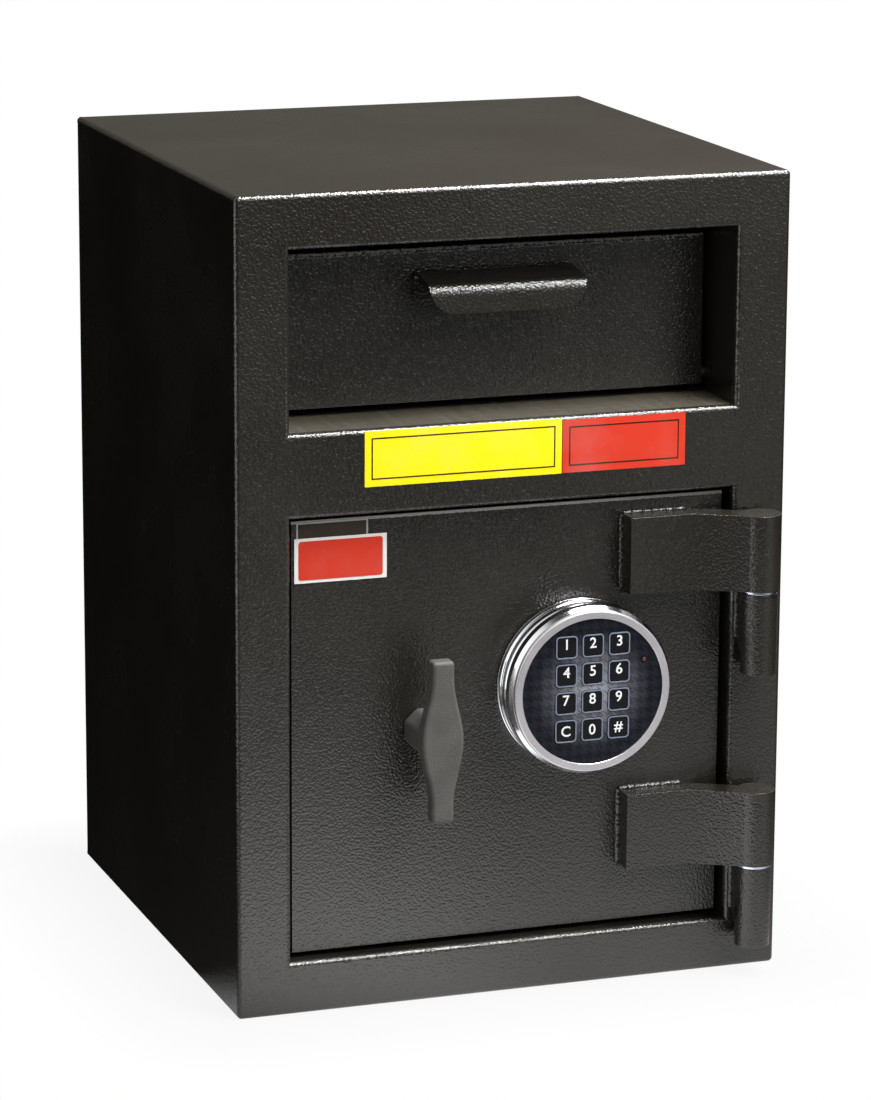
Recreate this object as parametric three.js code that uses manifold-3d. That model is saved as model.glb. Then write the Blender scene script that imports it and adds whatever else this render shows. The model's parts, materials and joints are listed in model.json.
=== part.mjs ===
// A front-loading drop safe: a steel box with a tip-out deposit drawer above
// and a thick hinged door with a T-handle, a boltwork and a round keypad below.
// Millimetres, +Z up, the front faces -Y, the origin is the middle of the base.
import * as THREE from 'three';
import { mergeVertices } from 'three/addons/utils/BufferGeometryUtils.js';
import Module from 'manifold-3d';

const wasm = await Module();
wasm.setup();

// Clearances and steps that the whole part shares
const seatGap = 0.3;
const runningGap = 0.45;
const overrun = 5;
const mergeDistance = 0.0005;
const bendSteps = 3;
const roundSides = 28;
const smallSides = 16;
const ringSides = 48;
const halfTurn = Math.PI;
const quarterTurn = halfTurn / 2;
const fullTurn = halfTurn * 2;
const half_share = 0.5;

// Body
const bodyWidth = 355.6;
const bodyDepth = 355.6;
const bodyHeight = 508;
const sideMargin = 34.3;
const bottomMargin = 33;
const bandHeight = 52;
const depositOpeningHeight = 111;
const topMargin = 33.5;
const bodyWall = 4.8;
const edgeRadius = 3;
const flareRadius = 3.2;
const anchorHoleRadius = 6.75;
const anchorHoleInset = 77.8;

// Deposit throat, shelf and baffle
const throatWall = 3;
const throatBehindBaffle = 8;
const sillBehindRod = 8;
const throatSkirtGap = 5;
const shelfThickness = 3;
const shelfShortfall = 22;
const baffleInsideCheek = 7;
const baffleThickness = 2;
const baffleDrop = 43.5;
const baffleToothDepth = 12;
const baffleTeeth = 14;

// Deposit drawer, which tips about its rod
const rodSetback = 54;
const rodOverSill = 11.5;
const rodRadius = 4;
const rodHeadRadius = 7;
const rodHeadThickness = 3;
const rodTail = 4;
const rodClipThickness = 1.5;
const drawerSideGap = 3.5;
const drawerPanelLead = 8;
const drawerPanelThickness = 2.5;
const drawerGapBelow = 5;
const drawerGapAbove = 10.5;
const drawerFlangeDepth = 12;
const drawerBendRadius = 3.5;
const cheekThickness = 2;
const cheekInset = 2;
const cheekRadius = 93;
const cheekSteps = 9;
const trayThickness = 2;
const trayOverRod = 6;
const trayShortfall = 2;
const trayStart = 8;
const traySlope = 32 * halfTurn / 180;

// Pull on the drawer
const pullWidth = 101.6;
const pullSheet = 2;
const pullReach = 32;
const pullBelowEdge = 14;
const pullFlangeHeight = 19;
const pullFall = 3;
const pullHeight = 22;
const pullBackRadius = 5;
const pullFrontRadius = 8;
const pullCornerRadius = 17;
const pullCornerSteps = 5;
const pullFlangeRadius = 4;

// Door
const doorRecess = 10;
const doorThickness = 12.7;
const doorGap = 3.5;
const doorStopWidth = 30;
const doorStopReach = 10;
const doorStopThickness = 4;
const doorStopInset = 23.5;

// Hinges
const hingeAxisOffset = 12;
const hingeStandoff = 16;
const hingeUpperDrop = 115;
const hingeLowerDrop = 13.3;
const barrelRadius = 11;
const barrelHeight = 51.5;
const tangLeft = 8.3;
const tangRight = 3;
const tangChamferRise = 20;
const hingePinRadius = 6;
const hingePinRise = 36;
const hingeWasherThickness = 1.6;
const knuckleRadius = 12.7;
const knuckleHeight = 48;
const armThickness = 16;
const armReach = 81.8;
const armBendReach = 40.3;
const armBendAngle = 30 * halfTurn / 180;

// Handle
const handleInset = 85;
const handleLength = 101.6;
const handleEndWidth = 13.9;
const handleMiddleWidth = 26.5;
const handleShoulder = 7.75;
const handleWaistWidth = 17;
const handleWaistDistance = 24;
const handleBarThickness = 11;
const handleShankAcrossFlats = 27;
const handleShankSides = 8;
const handleShankLength = 26;
const handleSocketDepth = 18;
const handleCurveSteps = 6;
const spindleRadius = 6.35;
const spindleTail = 2.7;
const spindleGrooveDepth = 0.85;
const spindleGrooveWidth = 1.8;
const clipRadius = 9.5;
const bushingRadius = 9.5;
const bushingFlangeRadius = 14;
const bushingFlangeThickness = 2;

// Boltwork behind the door
const boltRadius = 11.1;
const boltLength = 51;
const boltNose = 2;
const boltChamfer = 2;
const boltThrow = 24;
const boltInset = 46;
const boltClearance = 1.4;
const guideInset = 6.7;
const guideWidth = 21.3;
const guideWall = 4;
const guideLip = 2.1;
const guideEndInset = 13.75;
const boltBarThickness = 6;
const boltBarLip = 0.9;
const boltBarEndInset = 30.75;
const carriageWallAbove = 3.8;
const carriageWallBelow = 6.3;
const carriageGap = 2.3;
const carriageThickness = 5;
const carriageTail = 5.4;
const camPinRadius = 4;
const camPinPlay = 0.7;
const camPinProud = 1.7;
const camGap = 0.5;
const camThickness = 6;
const camHubRadius = 12;
const camTipRadius = 8;
const deadBarBase = 19;
const deadBarOverhang = 12.5;
const deadBarHook = 5.7;
const deadBarClearance = 2;
const deadBarThickness = 12;
const deadBarEndInset = 20.75;

// Lock behind the keypad
const keypadShift = 4.125;
const keypadRise = 21.75;
const lockWidth = 61;
const lockHeight = 85;
const lockOverCarriage = 3.25;
const lockWall = 3;
const lockCoverThickness = 2;
const lockBossRadius = 4.5;
const lockScrewInset = 7;
const lockScrewRadius = 2;
const lockScrewHeadRadius = 4;
const lockScrewHeadHeight = 2.5;
const lockScrewLength = 16;
const hardPlateThickness = 3;
const lockBoltWidth = 18;
const lockBoltDepth = 9;
const lockBoltNose = 0.55;
const lockBoltUnderCable = 2.75;
const lockBoltTailWidth = 4.5;
const lockBoltTailHeight = 26;
const lockBoltThrow = 10;
const notchPlay = 0.6;
const lockPlugDrop = 21.25;
const cableRadius = 1.6;
const cableBendRadius = 8;
const cableHoleRadius = 5;
const cableSides = 8;
const cableSteps = 22;

// Keypad, measured forwards from the door face
const keypadRadius = 51;
const housingRadius = 53.2;
const keypadDepth = 28;
const keypadInnerRadius = 47.6;
const keypadBaseThickness = 2.5;
const bezelThickness = 3;
const bezelChamfer = 1;
const bezelInnerRadius = 46;
const ridge_shares = [
  [0, 0], [1, 0], [1, 0.1], [0.8, 0.14], [0.93, 0.2], [1, 0.29], [0.93, 0.38],
  [0.76, 0.44], [0.76, 0.5], [0.94, 0.55], [0.98, 0.64], [0.98, 0.78], [0.62, 1], [0, 1],
];
const faceThickness = 2.5;
const faceRecess = 1;
const keyWidth = 14;
const keyHeight = 14.3;
const keyRadius = 2.6;
const keyCornerSteps = 3;
const keyPitchX = 17.3;
const keyPitchZ = 17.7;
const keyGridRise = 2.5;
const keyProud = 0.6;
const keyFlangeWidth = 0.9;
const keyFlangeThickness = 0.7;
const keyTravel = 0.8;
const boardThickness = 1.6;
const ledX = 33.9;
const ledRise = 17.7;
const ledRadius = 2;
const ledSides = 12;
const batteryWidth = 48.5;
const batteryHeight = 26.5;
const batteryDepth = 17.5;
const batteryTop = -11.5;

// Places worked out from the sizes above
const openingWidth = bodyWidth - 2 * sideMargin;
const depositOpeningTop = bodyHeight - topMargin;
const depositOpeningBottom = depositOpeningTop - depositOpeningHeight;
const doorOpeningTop = depositOpeningBottom - bandHeight;
const doorOpeningBottom = bottomMargin;
const doorOpeningHeight = doorOpeningTop - doorOpeningBottom;
const frontY = -bodyDepth / 2;
const backY = bodyDepth / 2;
const plateBackY = frontY + bodyWall;
const openingHalf = openingWidth / 2;
const doorHeight = doorOpeningHeight - 2 * doorGap;
const doorWidth = openingWidth - 2 * doorGap;
const doorFaceY = frontY + doorRecess;
const doorCentreZ = (doorOpeningTop + doorOpeningBottom) / 2;
const returnDepth = doorRecess + doorThickness + seatGap + doorStopThickness;
const returnBack = returnDepth - doorRecess;
const innerHalf = bodyWidth / 2 - bodyWall;
const rodY = frontY + rodSetback;
const rodHeight = depositOpeningBottom + rodOverSill;
const drawerPanelWidth = openingWidth - 2 * drawerSideGap;
const drawerPanelBottom = depositOpeningBottom + drawerGapBelow;
const drawerPanelTop = depositOpeningTop - drawerGapAbove;
const baffleSetback = rodSetback + cheekRadius - baffleInsideCheek;
const throatDepth = baffleSetback + baffleThickness + throatBehindBaffle;
const shelfTop = doorOpeningTop + bodyWall + shelfThickness;
const hingeAxisX = openingHalf + hingeAxisOffset;
const hingeBaseHeights = {
  upper: doorOpeningTop - hingeUpperDrop,
  lower: doorOpeningBottom - hingeLowerDrop,
};
const handleX = handleInset - doorWidth / 2;
const keypadX = (handleX + handleMiddleWidth / 2 + doorWidth / 2) / 2 - keypadShift;
const guideLeft = guideInset - doorWidth / 2;
const boltTipX = guideLeft - boltNose;
const boltSetback = returnBack + boltClearance + boltRadius;
const boltSpacing = doorHeight / 2 - boltInset;
const camFront = doorThickness + bushingFlangeThickness + camGap;
const spindleGrooveStart = camFront + camThickness + seatGap;
const spindleEnd = spindleGrooveStart + spindleGrooveWidth + spindleTail;
const carriageFront = spindleEnd + carriageGap;
const camPinOffset = boltThrow / 2;
const slotHalf = camPinRadius + camPinPlay;
const slotTop = slotHalf - camPinOffset;
const slotBottom = -camPinOffset * Math.SQRT2 - slotHalf;
const carriageTop = slotTop + carriageWallAbove;
const carriageBottom = slotBottom - carriageWallBelow;
const keypadHousingFront = bezelThickness - keypadDepth;
const faceBack = faceRecess + faceThickness - keypadDepth;
const keyBack = faceBack + seatGap + keyFlangeThickness;
const boardFront = keyBack + keyTravel + seatGap;

// Colours, roughness and metalness
const finish = (color, roughness, metalness) => ({ color, roughness, metalness });
const finishes = {
  coat: finish(0x3b3934, 0.55, 0.2),
  darkCoat: finish(0x2b2a26, 0.6, 0.2),
  bareSteel: finish(0x8f8f8c, 0.4, 0.9),
  zinc: finish(0xa9a7a0, 0.35, 0.9),
  handle: finish(0x62615e, 0.6, 0.35),
  chrome: finish(0xd6d8dc, 0.08, 1),
  satin: finish(0xb9b5b8, 0.35, 0.9),
  brass: finish(0xa98a4b, 0.35, 0.9),
  castZinc: finish(0x9a9b9d, 0.45, 0.8),
  face: finish(0x23252e, 0.35, 0.1),
  key: finish(0x15161b, 0.3, 0),
  board: finish(0x1f5a35, 0.5, 0),
  led: finish(0xa02525, 0.2, 0),
  battery: finish(0x3a3f4a, 0.45, 0.3),
  rubber: finish(0x1b1b1b, 0.7, 0),
};

// Outlines: lists of [a, b] points, anticlockwise
function arc(a, b, radius, from, to, steps) {
  const points = [];
  for (let step = 0; step <= steps; step += 1) {
    const angle = from + (to - from) * step / steps;
    points.push([a + radius * Math.cos(angle), b + radius * Math.sin(angle)]);
  }
  return points;
}

function circle(a, b, radius, sides) {
  return arc(a, b, radius, 0, fullTurn, sides).slice(0, sides);
}

function rectangle(left, right, bottom, top) {
  return [[left, bottom], [right, bottom], [right, top], [left, top]];
}

function roundedRectangle(left, right, bottom, top, radius, steps) {
  return [
    ...arc(right - radius, bottom + radius, radius, -quarterTurn, 0, steps),
    ...arc(right - radius, top - radius, radius, 0, quarterTurn, steps),
    ...arc(left + radius, top - radius, radius, quarterTurn, halfTurn, steps),
    ...arc(left + radius, bottom + radius, radius, halfTurn, halfTurn + quarterTurn, steps),
  ];
}

// Solids
const axes = {
  x: [[0, 1, 0], [0, 0, 1], [1, 0, 0]],
  y: [[1, 0, 0], [0, 0, 1], [0, -1, 0]],
  z: [[1, 0, 0], [0, 1, 0], [0, 0, 1]],
};

function pathOf(points, Kind) {
  return new Kind(points.map(([a, b]) => new THREE.Vector2(a, b)));
}

// An outline pushed along an axis: (y, z) along x, (x, z) along y, (x, y) along z
function prism(points, axis, from, to, holes = []) {
  const shape = pathOf(points, THREE.Shape);
  shape.holes = holes.map((hole) => pathOf(hole, THREE.Path));
  const geometry = new THREE.ExtrudeGeometry(shape, { depth: to - from, bevelEnabled: false });
  const basis = axes[axis].map((column) => new THREE.Vector3(...column));
  geometry.applyMatrix4(new THREE.Matrix4().makeBasis(...basis));
  const start = axis === 'y' ? to : from;
  geometry.translate(axis === 'x' ? start : 0, axis === 'y' ? start : 0, axis === 'z' ? start : 0);
  return geometry;
}

function block(x0, x1, y0, y1, z0, z1) {
  return prism(rectangle(x0, x1, z0, z1), 'y', y0, y1);
}

function rod(axis, a, b, radius, from, to, sides = roundSides) {
  return prism(circle(a, b, radius, sides), axis, from, to);
}

// A profile of [radius, distance] points turned about an axis
function turned(profile, axis, sides) {
  const points = profile.map(([radius, distance]) => new THREE.Vector2(radius, distance));
  const geometry = new THREE.LatheGeometry(points, sides);
  if (axis === 'x') geometry.rotateZ(-quarterTurn);
  if (axis === 'z') geometry.rotateX(quarterTurn);
  return geometry;
}

// A skin through outlines that lie at given places along y, closed at both ends
function loft(sections) {
  const count = sections[0].points.length;
  const last = sections.length - 1;
  const positions = [];
  for (const { points, at } of sections) {
    for (const [x, z] of points) positions.push(x, at, z);
  }
  const index = [];
  for (let ring = 0; ring < last; ring += 1) {
    for (let i = 0; i < count; i += 1) {
      const next = (i + 1) % count;
      const near = ring * count;
      const far = near + count;
      index.push(near + i, far + next, near + next);
      index.push(near + i, far + i, far + next);
    }
  }
  const flat = sections[0].points.map(([x, z]) => new THREE.Vector2(x, z));
  for (const [a, b, c] of THREE.ShapeUtils.triangulateShape(flat, [])) {
    index.push(a, b, c);
    index.push(last * count + a, last * count + c, last * count + b);
  }
  const geometry = new THREE.BufferGeometry();
  geometry.setAttribute('position', new THREE.Float32BufferAttribute(positions, 3));
  geometry.setIndex(index);
  return geometry;
}

function toSolid(geometry) {
  const plain = geometry.clone();
  plain.deleteAttribute('normal');
  plain.deleteAttribute('uv');
  const merged = mergeVertices(plain, mergeDistance);
  const vertProperties = Float32Array.from(merged.attributes.position.array);
  const triVerts = Uint32Array.from(merged.index.array);
  return new wasm.Manifold(new wasm.Mesh({ numProp: 3, vertProperties, triVerts }));
}

function toGeometry(solid) {
  const mesh = solid.getMesh();
  const geometry = new THREE.BufferGeometry();
  geometry.setAttribute('position', new THREE.BufferAttribute(mesh.vertProperties, 3));
  geometry.setIndex(new THREE.BufferAttribute(mesh.triVerts, 1));
  return geometry;
}

function join(first, ...others) {
  return toGeometry(others.reduce((sum, other) => sum.add(toSolid(other)), toSolid(first)));
}

function cut(first, ...tools) {
  return toGeometry(tools.reduce((rest, tool) => rest.subtract(toSolid(tool)), toSolid(first)));
}

function common(first, second) {
  return toGeometry(toSolid(first).intersect(toSolid(second)));
}

function piece(name, geometry, { color, roughness, metalness }) {
  const smooth = geometry.index ? geometry.toNonIndexed() : geometry;
  smooth.computeVertexNormals();
  const material = new THREE.MeshStandardMaterial({ color, roughness, metalness });
  const mesh = new THREE.Mesh(smooth, material);
  mesh.name = name;
  return mesh;
}

function copyAt(name, source, x, y, z) {
  const mesh = new THREE.Mesh(source.geometry, source.material.clone());
  mesh.name = name;
  mesh.position.set(x, y, z);
  return mesh;
}

function assembly(x, y, z, ...members) {
  const group = new THREE.Group();
  group.position.set(x, y, z);
  group.add(...members);
  return group;
}

// How far a rounded edge stands back from its face at a given depth
function edgeInset(depth, radius) {
  const left = radius - Math.min(depth, radius);
  return radius - Math.sqrt(radius * radius - left * left);
}

// Body
function bodyWrap() {
  const side = bodyWidth / 2;
  const outline = roundedRectangle(-side, side, 0, bodyHeight, edgeRadius, bendSteps);
  const inside = rectangle(-innerHalf, innerHalf, bodyWall, bodyHeight - bodyWall);
  const tube = prism(outline, 'y', plateBackY, backY, [inside]);
  const holes = [];
  for (const sideX of [-1, 1]) {
    for (const sideY of [-1, 1]) {
      const x = sideX * (bodyWidth / 2 - anchorHoleInset);
      const y = sideY * (bodyDepth / 2 - anchorHoleInset);
      holes.push(rod('z', x, y, anchorHoleRadius, -overrun, bodyWall + overrun, smallSides));
    }
  }
  return cut(tube, ...holes);
}

function flaredOpening(bottom, top) {
  const sections = [{ at: frontY - overrun, grow: flareRadius }];
  for (let step = 0; step <= bendSteps; step += 1) {
    const depth = flareRadius * (1 - Math.cos(quarterTurn * step / bendSteps));
    sections.push({ at: frontY + depth, grow: edgeInset(depth, flareRadius) });
  }
  sections.push({ at: frontY + returnDepth + overrun, grow: 0 });
  return loft(sections.map(({ at, grow }) => ({
    at,
    points: rectangle(-openingHalf - grow, openingHalf + grow, bottom - grow, top + grow),
  })));
}

function frontFrame() {
  const side = bodyWidth / 2;
  const sections = [];
  for (let step = 0; step <= bendSteps; step += 1) {
    const depth = edgeRadius * (1 - Math.cos(quarterTurn * step / bendSteps));
    sections.push({ at: frontY + depth, inset: edgeInset(depth, edgeRadius) });
  }
  sections.push({ at: plateBackY, inset: 0 });
  const plate = loft(sections.map(({ at, inset }) => ({
    at,
    points: roundedRectangle(-side + inset, side - inset, inset, bodyHeight - inset, edgeRadius, bendSteps),
  })));
  const outerHalf = openingHalf + bodyWall;
  const outerReturn = rectangle(
    -outerHalf, outerHalf, doorOpeningBottom - bodyWall, doorOpeningTop + bodyWall);
  const returns = prism(outerReturn, 'y', frontY + bodyWall / 2, frontY + returnDepth);
  return cut(
    join(plate, returns),
    flaredOpening(doorOpeningBottom, doorOpeningTop),
    flaredOpening(depositOpeningBottom, depositOpeningTop),
  );
}

function backPanel() {
  return block(-innerHalf, innerHalf, backY - bodyWall, backY, bodyWall, bodyHeight - bodyWall);
}

function depositThroat() {
  const outer = openingHalf + throatWall;
  const rear = frontY + throatDepth;
  const lid = block(-outer, outer, plateBackY, rear, depositOpeningTop, depositOpeningTop + throatWall);
  const underSill = depositOpeningBottom - throatWall;
  const sill = block(-outer, outer, plateBackY, rodY + sillBehindRod, underSill, depositOpeningBottom);
  const skirtFront = frontY + returnDepth + throatSkirtGap;
  const sideOutline = [
    [plateBackY, underSill],
    [skirtFront, underSill],
    [skirtFront, shelfTop],
    [rear, shelfTop],
    [rear, depositOpeningTop + throatWall],
    [plateBackY, depositOpeningTop + throatWall],
  ];
  const left = prism(sideOutline, 'x', -outer, -openingHalf);
  const right = prism(sideOutline, 'x', openingHalf, outer);
  const bore = rod('x', rodY, rodHeight, rodRadius + seatGap, -outer - overrun, outer + overrun);
  return cut(join(lid, sill, left, right), bore);
}

function dropShelf() {
  const rear = frontY + throatDepth - shelfShortfall;
  return block(-innerHalf, innerHalf, plateBackY, rear, shelfTop - shelfThickness, shelfTop);
}

function antiFishBaffle() {
  const tips = depositOpeningTop - baffleDrop;
  const roots = tips + baffleToothDepth;
  const pitch = openingWidth / baffleTeeth;
  const outline = [
    [openingHalf, depositOpeningTop],
    [-openingHalf, depositOpeningTop],
    [-openingHalf, roots],
  ];
  for (let tooth = 0; tooth < baffleTeeth; tooth += 1) {
    outline.push([-openingHalf + (tooth + half_share) * pitch, tips]);
    outline.push([-openingHalf + (tooth + 1) * pitch, roots]);
  }
  outline[outline.length - 1][0] = openingHalf;
  return prism(outline, 'y', frontY + baffleSetback, frontY + baffleSetback + baffleThickness);
}

function drawerRod() {
  const outer = openingHalf + throatWall + seatGap;
  const shaft = rod('x', 0, 0, rodRadius, -outer, outer + rodClipThickness + rodTail);
  const head = rod('x', 0, 0, rodHeadRadius, -outer - rodHeadThickness, -outer);
  return join(shaft, head);
}

function rodClip() {
  const start = openingHalf + throatWall + seatGap;
  const hole = circle(0, 0, rodRadius + seatGap, roundSides);
  const ring = circle(0, 0, rodHeadRadius, roundSides);
  return prism(ring, 'x', start, start + rodClipThickness, [hole]);
}

function doorStop() {
  const front = doorFaceY + doorThickness + seatGap;
  const left = doorStopInset - openingHalf;
  const foot = doorOpeningTop - doorStopReach;
  return block(left, left + doorStopWidth, front, frontY + returnDepth, foot, doorOpeningTop);
}

// Deposit drawer, from its rod
const panelFront = -drawerPanelLead;
const panelBack = panelFront + drawerPanelThickness;
const cheekOuter = drawerPanelWidth / 2 - cheekInset;

function drawerFront() {
  const bottom = drawerPanelBottom - rodHeight;
  const top = drawerPanelTop - rodHeight;
  const inner = drawerBendRadius - drawerPanelThickness;
  const outer = drawerBendRadius;
  const rear = panelFront + drawerFlangeDepth;
  const outline = [
    [panelFront, bottom],
    [panelBack, bottom],
    ...arc(panelBack + inner, top - outer, inner, halfTurn, quarterTurn, bendSteps),
    [rear, top - drawerPanelThickness],
    [rear, top],
    ...arc(panelFront + outer, top - outer, outer, quarterTurn, halfTurn, bendSteps),
  ];
  return prism(outline, 'x', -drawerPanelWidth / 2, drawerPanelWidth / 2);
}

// Places on the tray: along its slope and square to it
function onTray(along, above) {
  const y = along * Math.cos(traySlope) + above * Math.sin(traySlope);
  const z = above * Math.cos(traySlope) - along * Math.sin(traySlope);
  return [y, z];
}

function drawerTray() {
  const outline = [
    onTray(-trayStart, trayOverRod),
    onTray(cheekRadius - trayShortfall, trayOverRod),
    onTray(cheekRadius - trayShortfall, trayOverRod + trayThickness),
    onTray(-trayStart, trayOverRod + trayThickness),
  ];
  return prism(outline, 'x', -cheekOuter + cheekThickness + seatGap, cheekOuter - cheekThickness - seatGap);
}

function drawerCheek() {
  const flangeBelow = drawerPanelTop - rodHeight - drawerPanelThickness - seatGap;
  const outline = [
    [panelBack, drawerPanelBottom - rodHeight],
    [0, drawerPanelBottom - rodHeight],
    ...arc(0, 0, cheekRadius, -traySlope, Math.asin(flangeBelow / cheekRadius), cheekSteps),
    [panelBack + drawerBendRadius, flangeBelow],
    [panelBack, flangeBelow - drawerBendRadius],
  ];
  const bore = rod('x', 0, 0, rodRadius + runningGap, -overrun, cheekThickness + overrun);
  return cut(prism(outline, 'x', 0, cheekThickness), bore);
}

// A plate's outline with its two lower corners rounded
function rounded(side, bottom, radius, top) {
  const corner = (x, from) => arc(
    x, bottom + radius, radius, from, from + quarterTurn, pullCornerSteps);
  return [
    ...corner(radius - side, halfTurn),
    ...corner(side - radius, -quarterTurn),
    [side, top],
    [-side, top],
  ];
}

function drawerPull() {
  const back = panelFront;
  const front = panelFront - pullReach;
  const top = drawerPanelTop - pullBelowEdge - rodHeight;
  const frontTop = top - pullFall;
  const lip = top - pullHeight;
  const flange = top - pullFlangeHeight;
  const backArc = (radius) => arc(
    back - pullBackRadius, top - pullBackRadius, radius, 0, quarterTurn, bendSteps);
  const frontArc = (radius) => arc(
    front + pullFrontRadius, frontTop - pullFrontRadius, radius, quarterTurn, halfTurn, bendSteps + 1);
  const flangeTop = top - pullBackRadius;
  const hood = [
    [back - pullSheet, flangeTop - seatGap],
    [back, flangeTop - seatGap],
    ...backArc(pullBackRadius),
    ...frontArc(pullFrontRadius),
    [front, lip],
    [front + pullSheet, lip],
    ...frontArc(pullFrontRadius - pullSheet).reverse(),
    ...backArc(pullBackRadius - pullSheet).reverse(),
  ];
  const side = pullWidth / 2;
  const hoodEnd = back - pullSheet - seatGap;
  const lipCut = prism(rounded(side, lip, pullCornerRadius, top), 'y', front - overrun, hoodEnd);
  const flangeSide = side - seatGap;
  const seat = block(-side, side, hoodEnd, back + overrun, flange, top + overrun);
  const flangePlate = prism(
    rounded(flangeSide, flange, pullFlangeRadius, flangeTop), 'y', back - pullSheet, back);
  return join(common(prism(hood, 'x', -side, side), join(lipCut, seat)), flangePlate);
}

// Hinges: from the axis, upwards from the foot of each barrel
const knuckleBase = barrelHeight + hingeWasherThickness + 2 * seatGap;

function hingeBarrel() {
  const wallY = hingeStandoff - seatGap;
  const barrel = rod('z', 0, 0, barrelRadius, 0, barrelHeight);
  const tangOutline = [[0, 0], [wallY, tangChamferRise], [wallY, barrelHeight], [0, barrelHeight]];
  const tang = prism(tangOutline, 'x', -tangLeft, tangRight);
  const bore = rod('z', 0, 0, hingePinRadius + seatGap, -overrun, barrelHeight + overrun);
  return cut(join(barrel, tang), bore);
}

function hingePin() {
  return rod('z', 0, 0, hingePinRadius, 0, knuckleBase + hingePinRise);
}

function hingeWasher() {
  const hole = circle(0, 0, hingePinRadius + seatGap, roundSides);
  const ring = circle(0, 0, barrelRadius, roundSides);
  return prism(ring, 'z', barrelHeight + seatGap, barrelHeight + seatGap + hingeWasherThickness, [hole]);
}

function hingeArm() {
  const axisY = frontY - hingeStandoff - doorFaceY;
  const slope = Math.tan(armBendAngle);
  const armPadLeft = hingeAxisX - armReach;
  const armPadBend = hingeAxisX - armBendReach;
  const backBend = armPadBend + armThickness * Math.tan(armBendAngle / 2);
  const strap = prism([
    [armPadLeft, 0],
    [armPadLeft, -armThickness],
    [armPadBend, -armThickness],
    [hingeAxisX - knuckleRadius / 2, -armThickness - (hingeAxisX - knuckleRadius / 2 - armPadBend) * slope],
    [hingeAxisX, axisY],
    [hingeAxisX - knuckleRadius / 2, -(hingeAxisX - knuckleRadius / 2 - backBend) * slope],
    [backBend, 0],
  ], 'z', 0, knuckleHeight);
  const knuckle = rod('z', hingeAxisX, axisY, knuckleRadius, 0, knuckleHeight);
  const boreTop = hingePinRise + runningGap;
  const bore = rod('z', hingeAxisX, axisY, hingePinRadius + runningGap, -overrun, boreTop);
  return cut(join(strap, knuckle), bore);
}

// Door, from the middle of its outer face
function doorPlate() {
  const plate = block(-doorWidth / 2, doorWidth / 2, 0, doorThickness, -doorHeight / 2, doorHeight / 2);
  const spindleHole = rod('y', handleX, 0, bushingRadius + seatGap, -overrun, doorThickness + overrun);
  const cableHole = rod('y', keypadX, keypadRise, cableHoleRadius, -overrun, doorThickness + overrun);
  return cut(plate, spindleHole, cableHole);
}

function boltHeights() {
  return { upper: boltSpacing, middle: 0, lower: -boltSpacing };
}

function boltGuide() {
  const right = guideLeft + guideWidth;
  const rear = boltSetback + boltRadius + guideLip;
  const halfHeight = doorHeight / 2 - guideEndInset;
  const channel = prism([
    [guideLeft, doorThickness],
    [right, doorThickness],
    [right, rear],
    [right - guideWall, rear],
    [right - guideWall, doorThickness + guideWall],
    [guideLeft + guideWall, doorThickness + guideWall],
    [guideLeft + guideWall, rear],
    [guideLeft, rear],
  ], 'z', -halfHeight, halfHeight);
  const bores = Object.values(boltHeights()).map((height) => rod(
    'x', boltSetback, height, boltRadius + runningGap, guideLeft - overrun, right + overrun));
  return cut(channel, ...bores);
}

function bolt() {
  const inner = boltTipX + boltLength;
  return turned([
    [0, boltTipX],
    [boltRadius - boltChamfer, boltTipX],
    [boltRadius, boltTipX + boltChamfer],
    [boltRadius, inner],
    [0, inner],
  ], 'x', roundSides);
}

function boltBar() {
  const left = boltTipX + boltLength;
  const right = left + boltBarThickness;
  const near = boltSetback - boltRadius - boltBarLip;
  const far = boltSetback + boltRadius + boltBarLip;
  const halfHeight = doorHeight / 2 - boltBarEndInset;
  const upright = block(left, right, near, far, -halfHeight, halfHeight);
  const rear = carriageFront + carriageThickness;
  const carriageEnd = keypadX + boltThrow + lockBoltWidth / 2 + notchPlay + carriageTail;
  const carriage = block(left, carriageEnd, carriageFront, rear, carriageBottom, carriageTop);
  const pinRestX = handleX + camPinOffset;
  const slot = block(
    pinRestX - slotHalf, pinRestX + slotHalf, carriageFront - overrun, rear + overrun,
    slotBottom, slotTop);
  const notches = [0, boltThrow].map((shift) => block(
    keypadX + shift - lockBoltWidth / 2 - notchPlay,
    keypadX + shift + lockBoltWidth / 2 + notchPlay,
    carriageFront - overrun,
    rear + overrun,
    lockBoltTip - lockBoltThrow - notchPlay,
    carriageTop + overrun,
  ));
  return cut(join(upright, carriage), slot, ...notches);
}

function deadBar() {
  const front = returnBack + deadBarClearance;
  const rear = front + deadBarThickness;
  const step = openingHalf - deadBarOverhang;
  const right = openingHalf + deadBarHook;
  const halfHeight = doorHeight / 2 - deadBarEndInset;
  return prism([
    [step - deadBarBase, doorThickness],
    [step, doorThickness],
    [step, front],
    [right, front],
    [right, rear],
    [step - deadBarBase, rear],
  ], 'z', -halfHeight, halfHeight);
}

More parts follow.
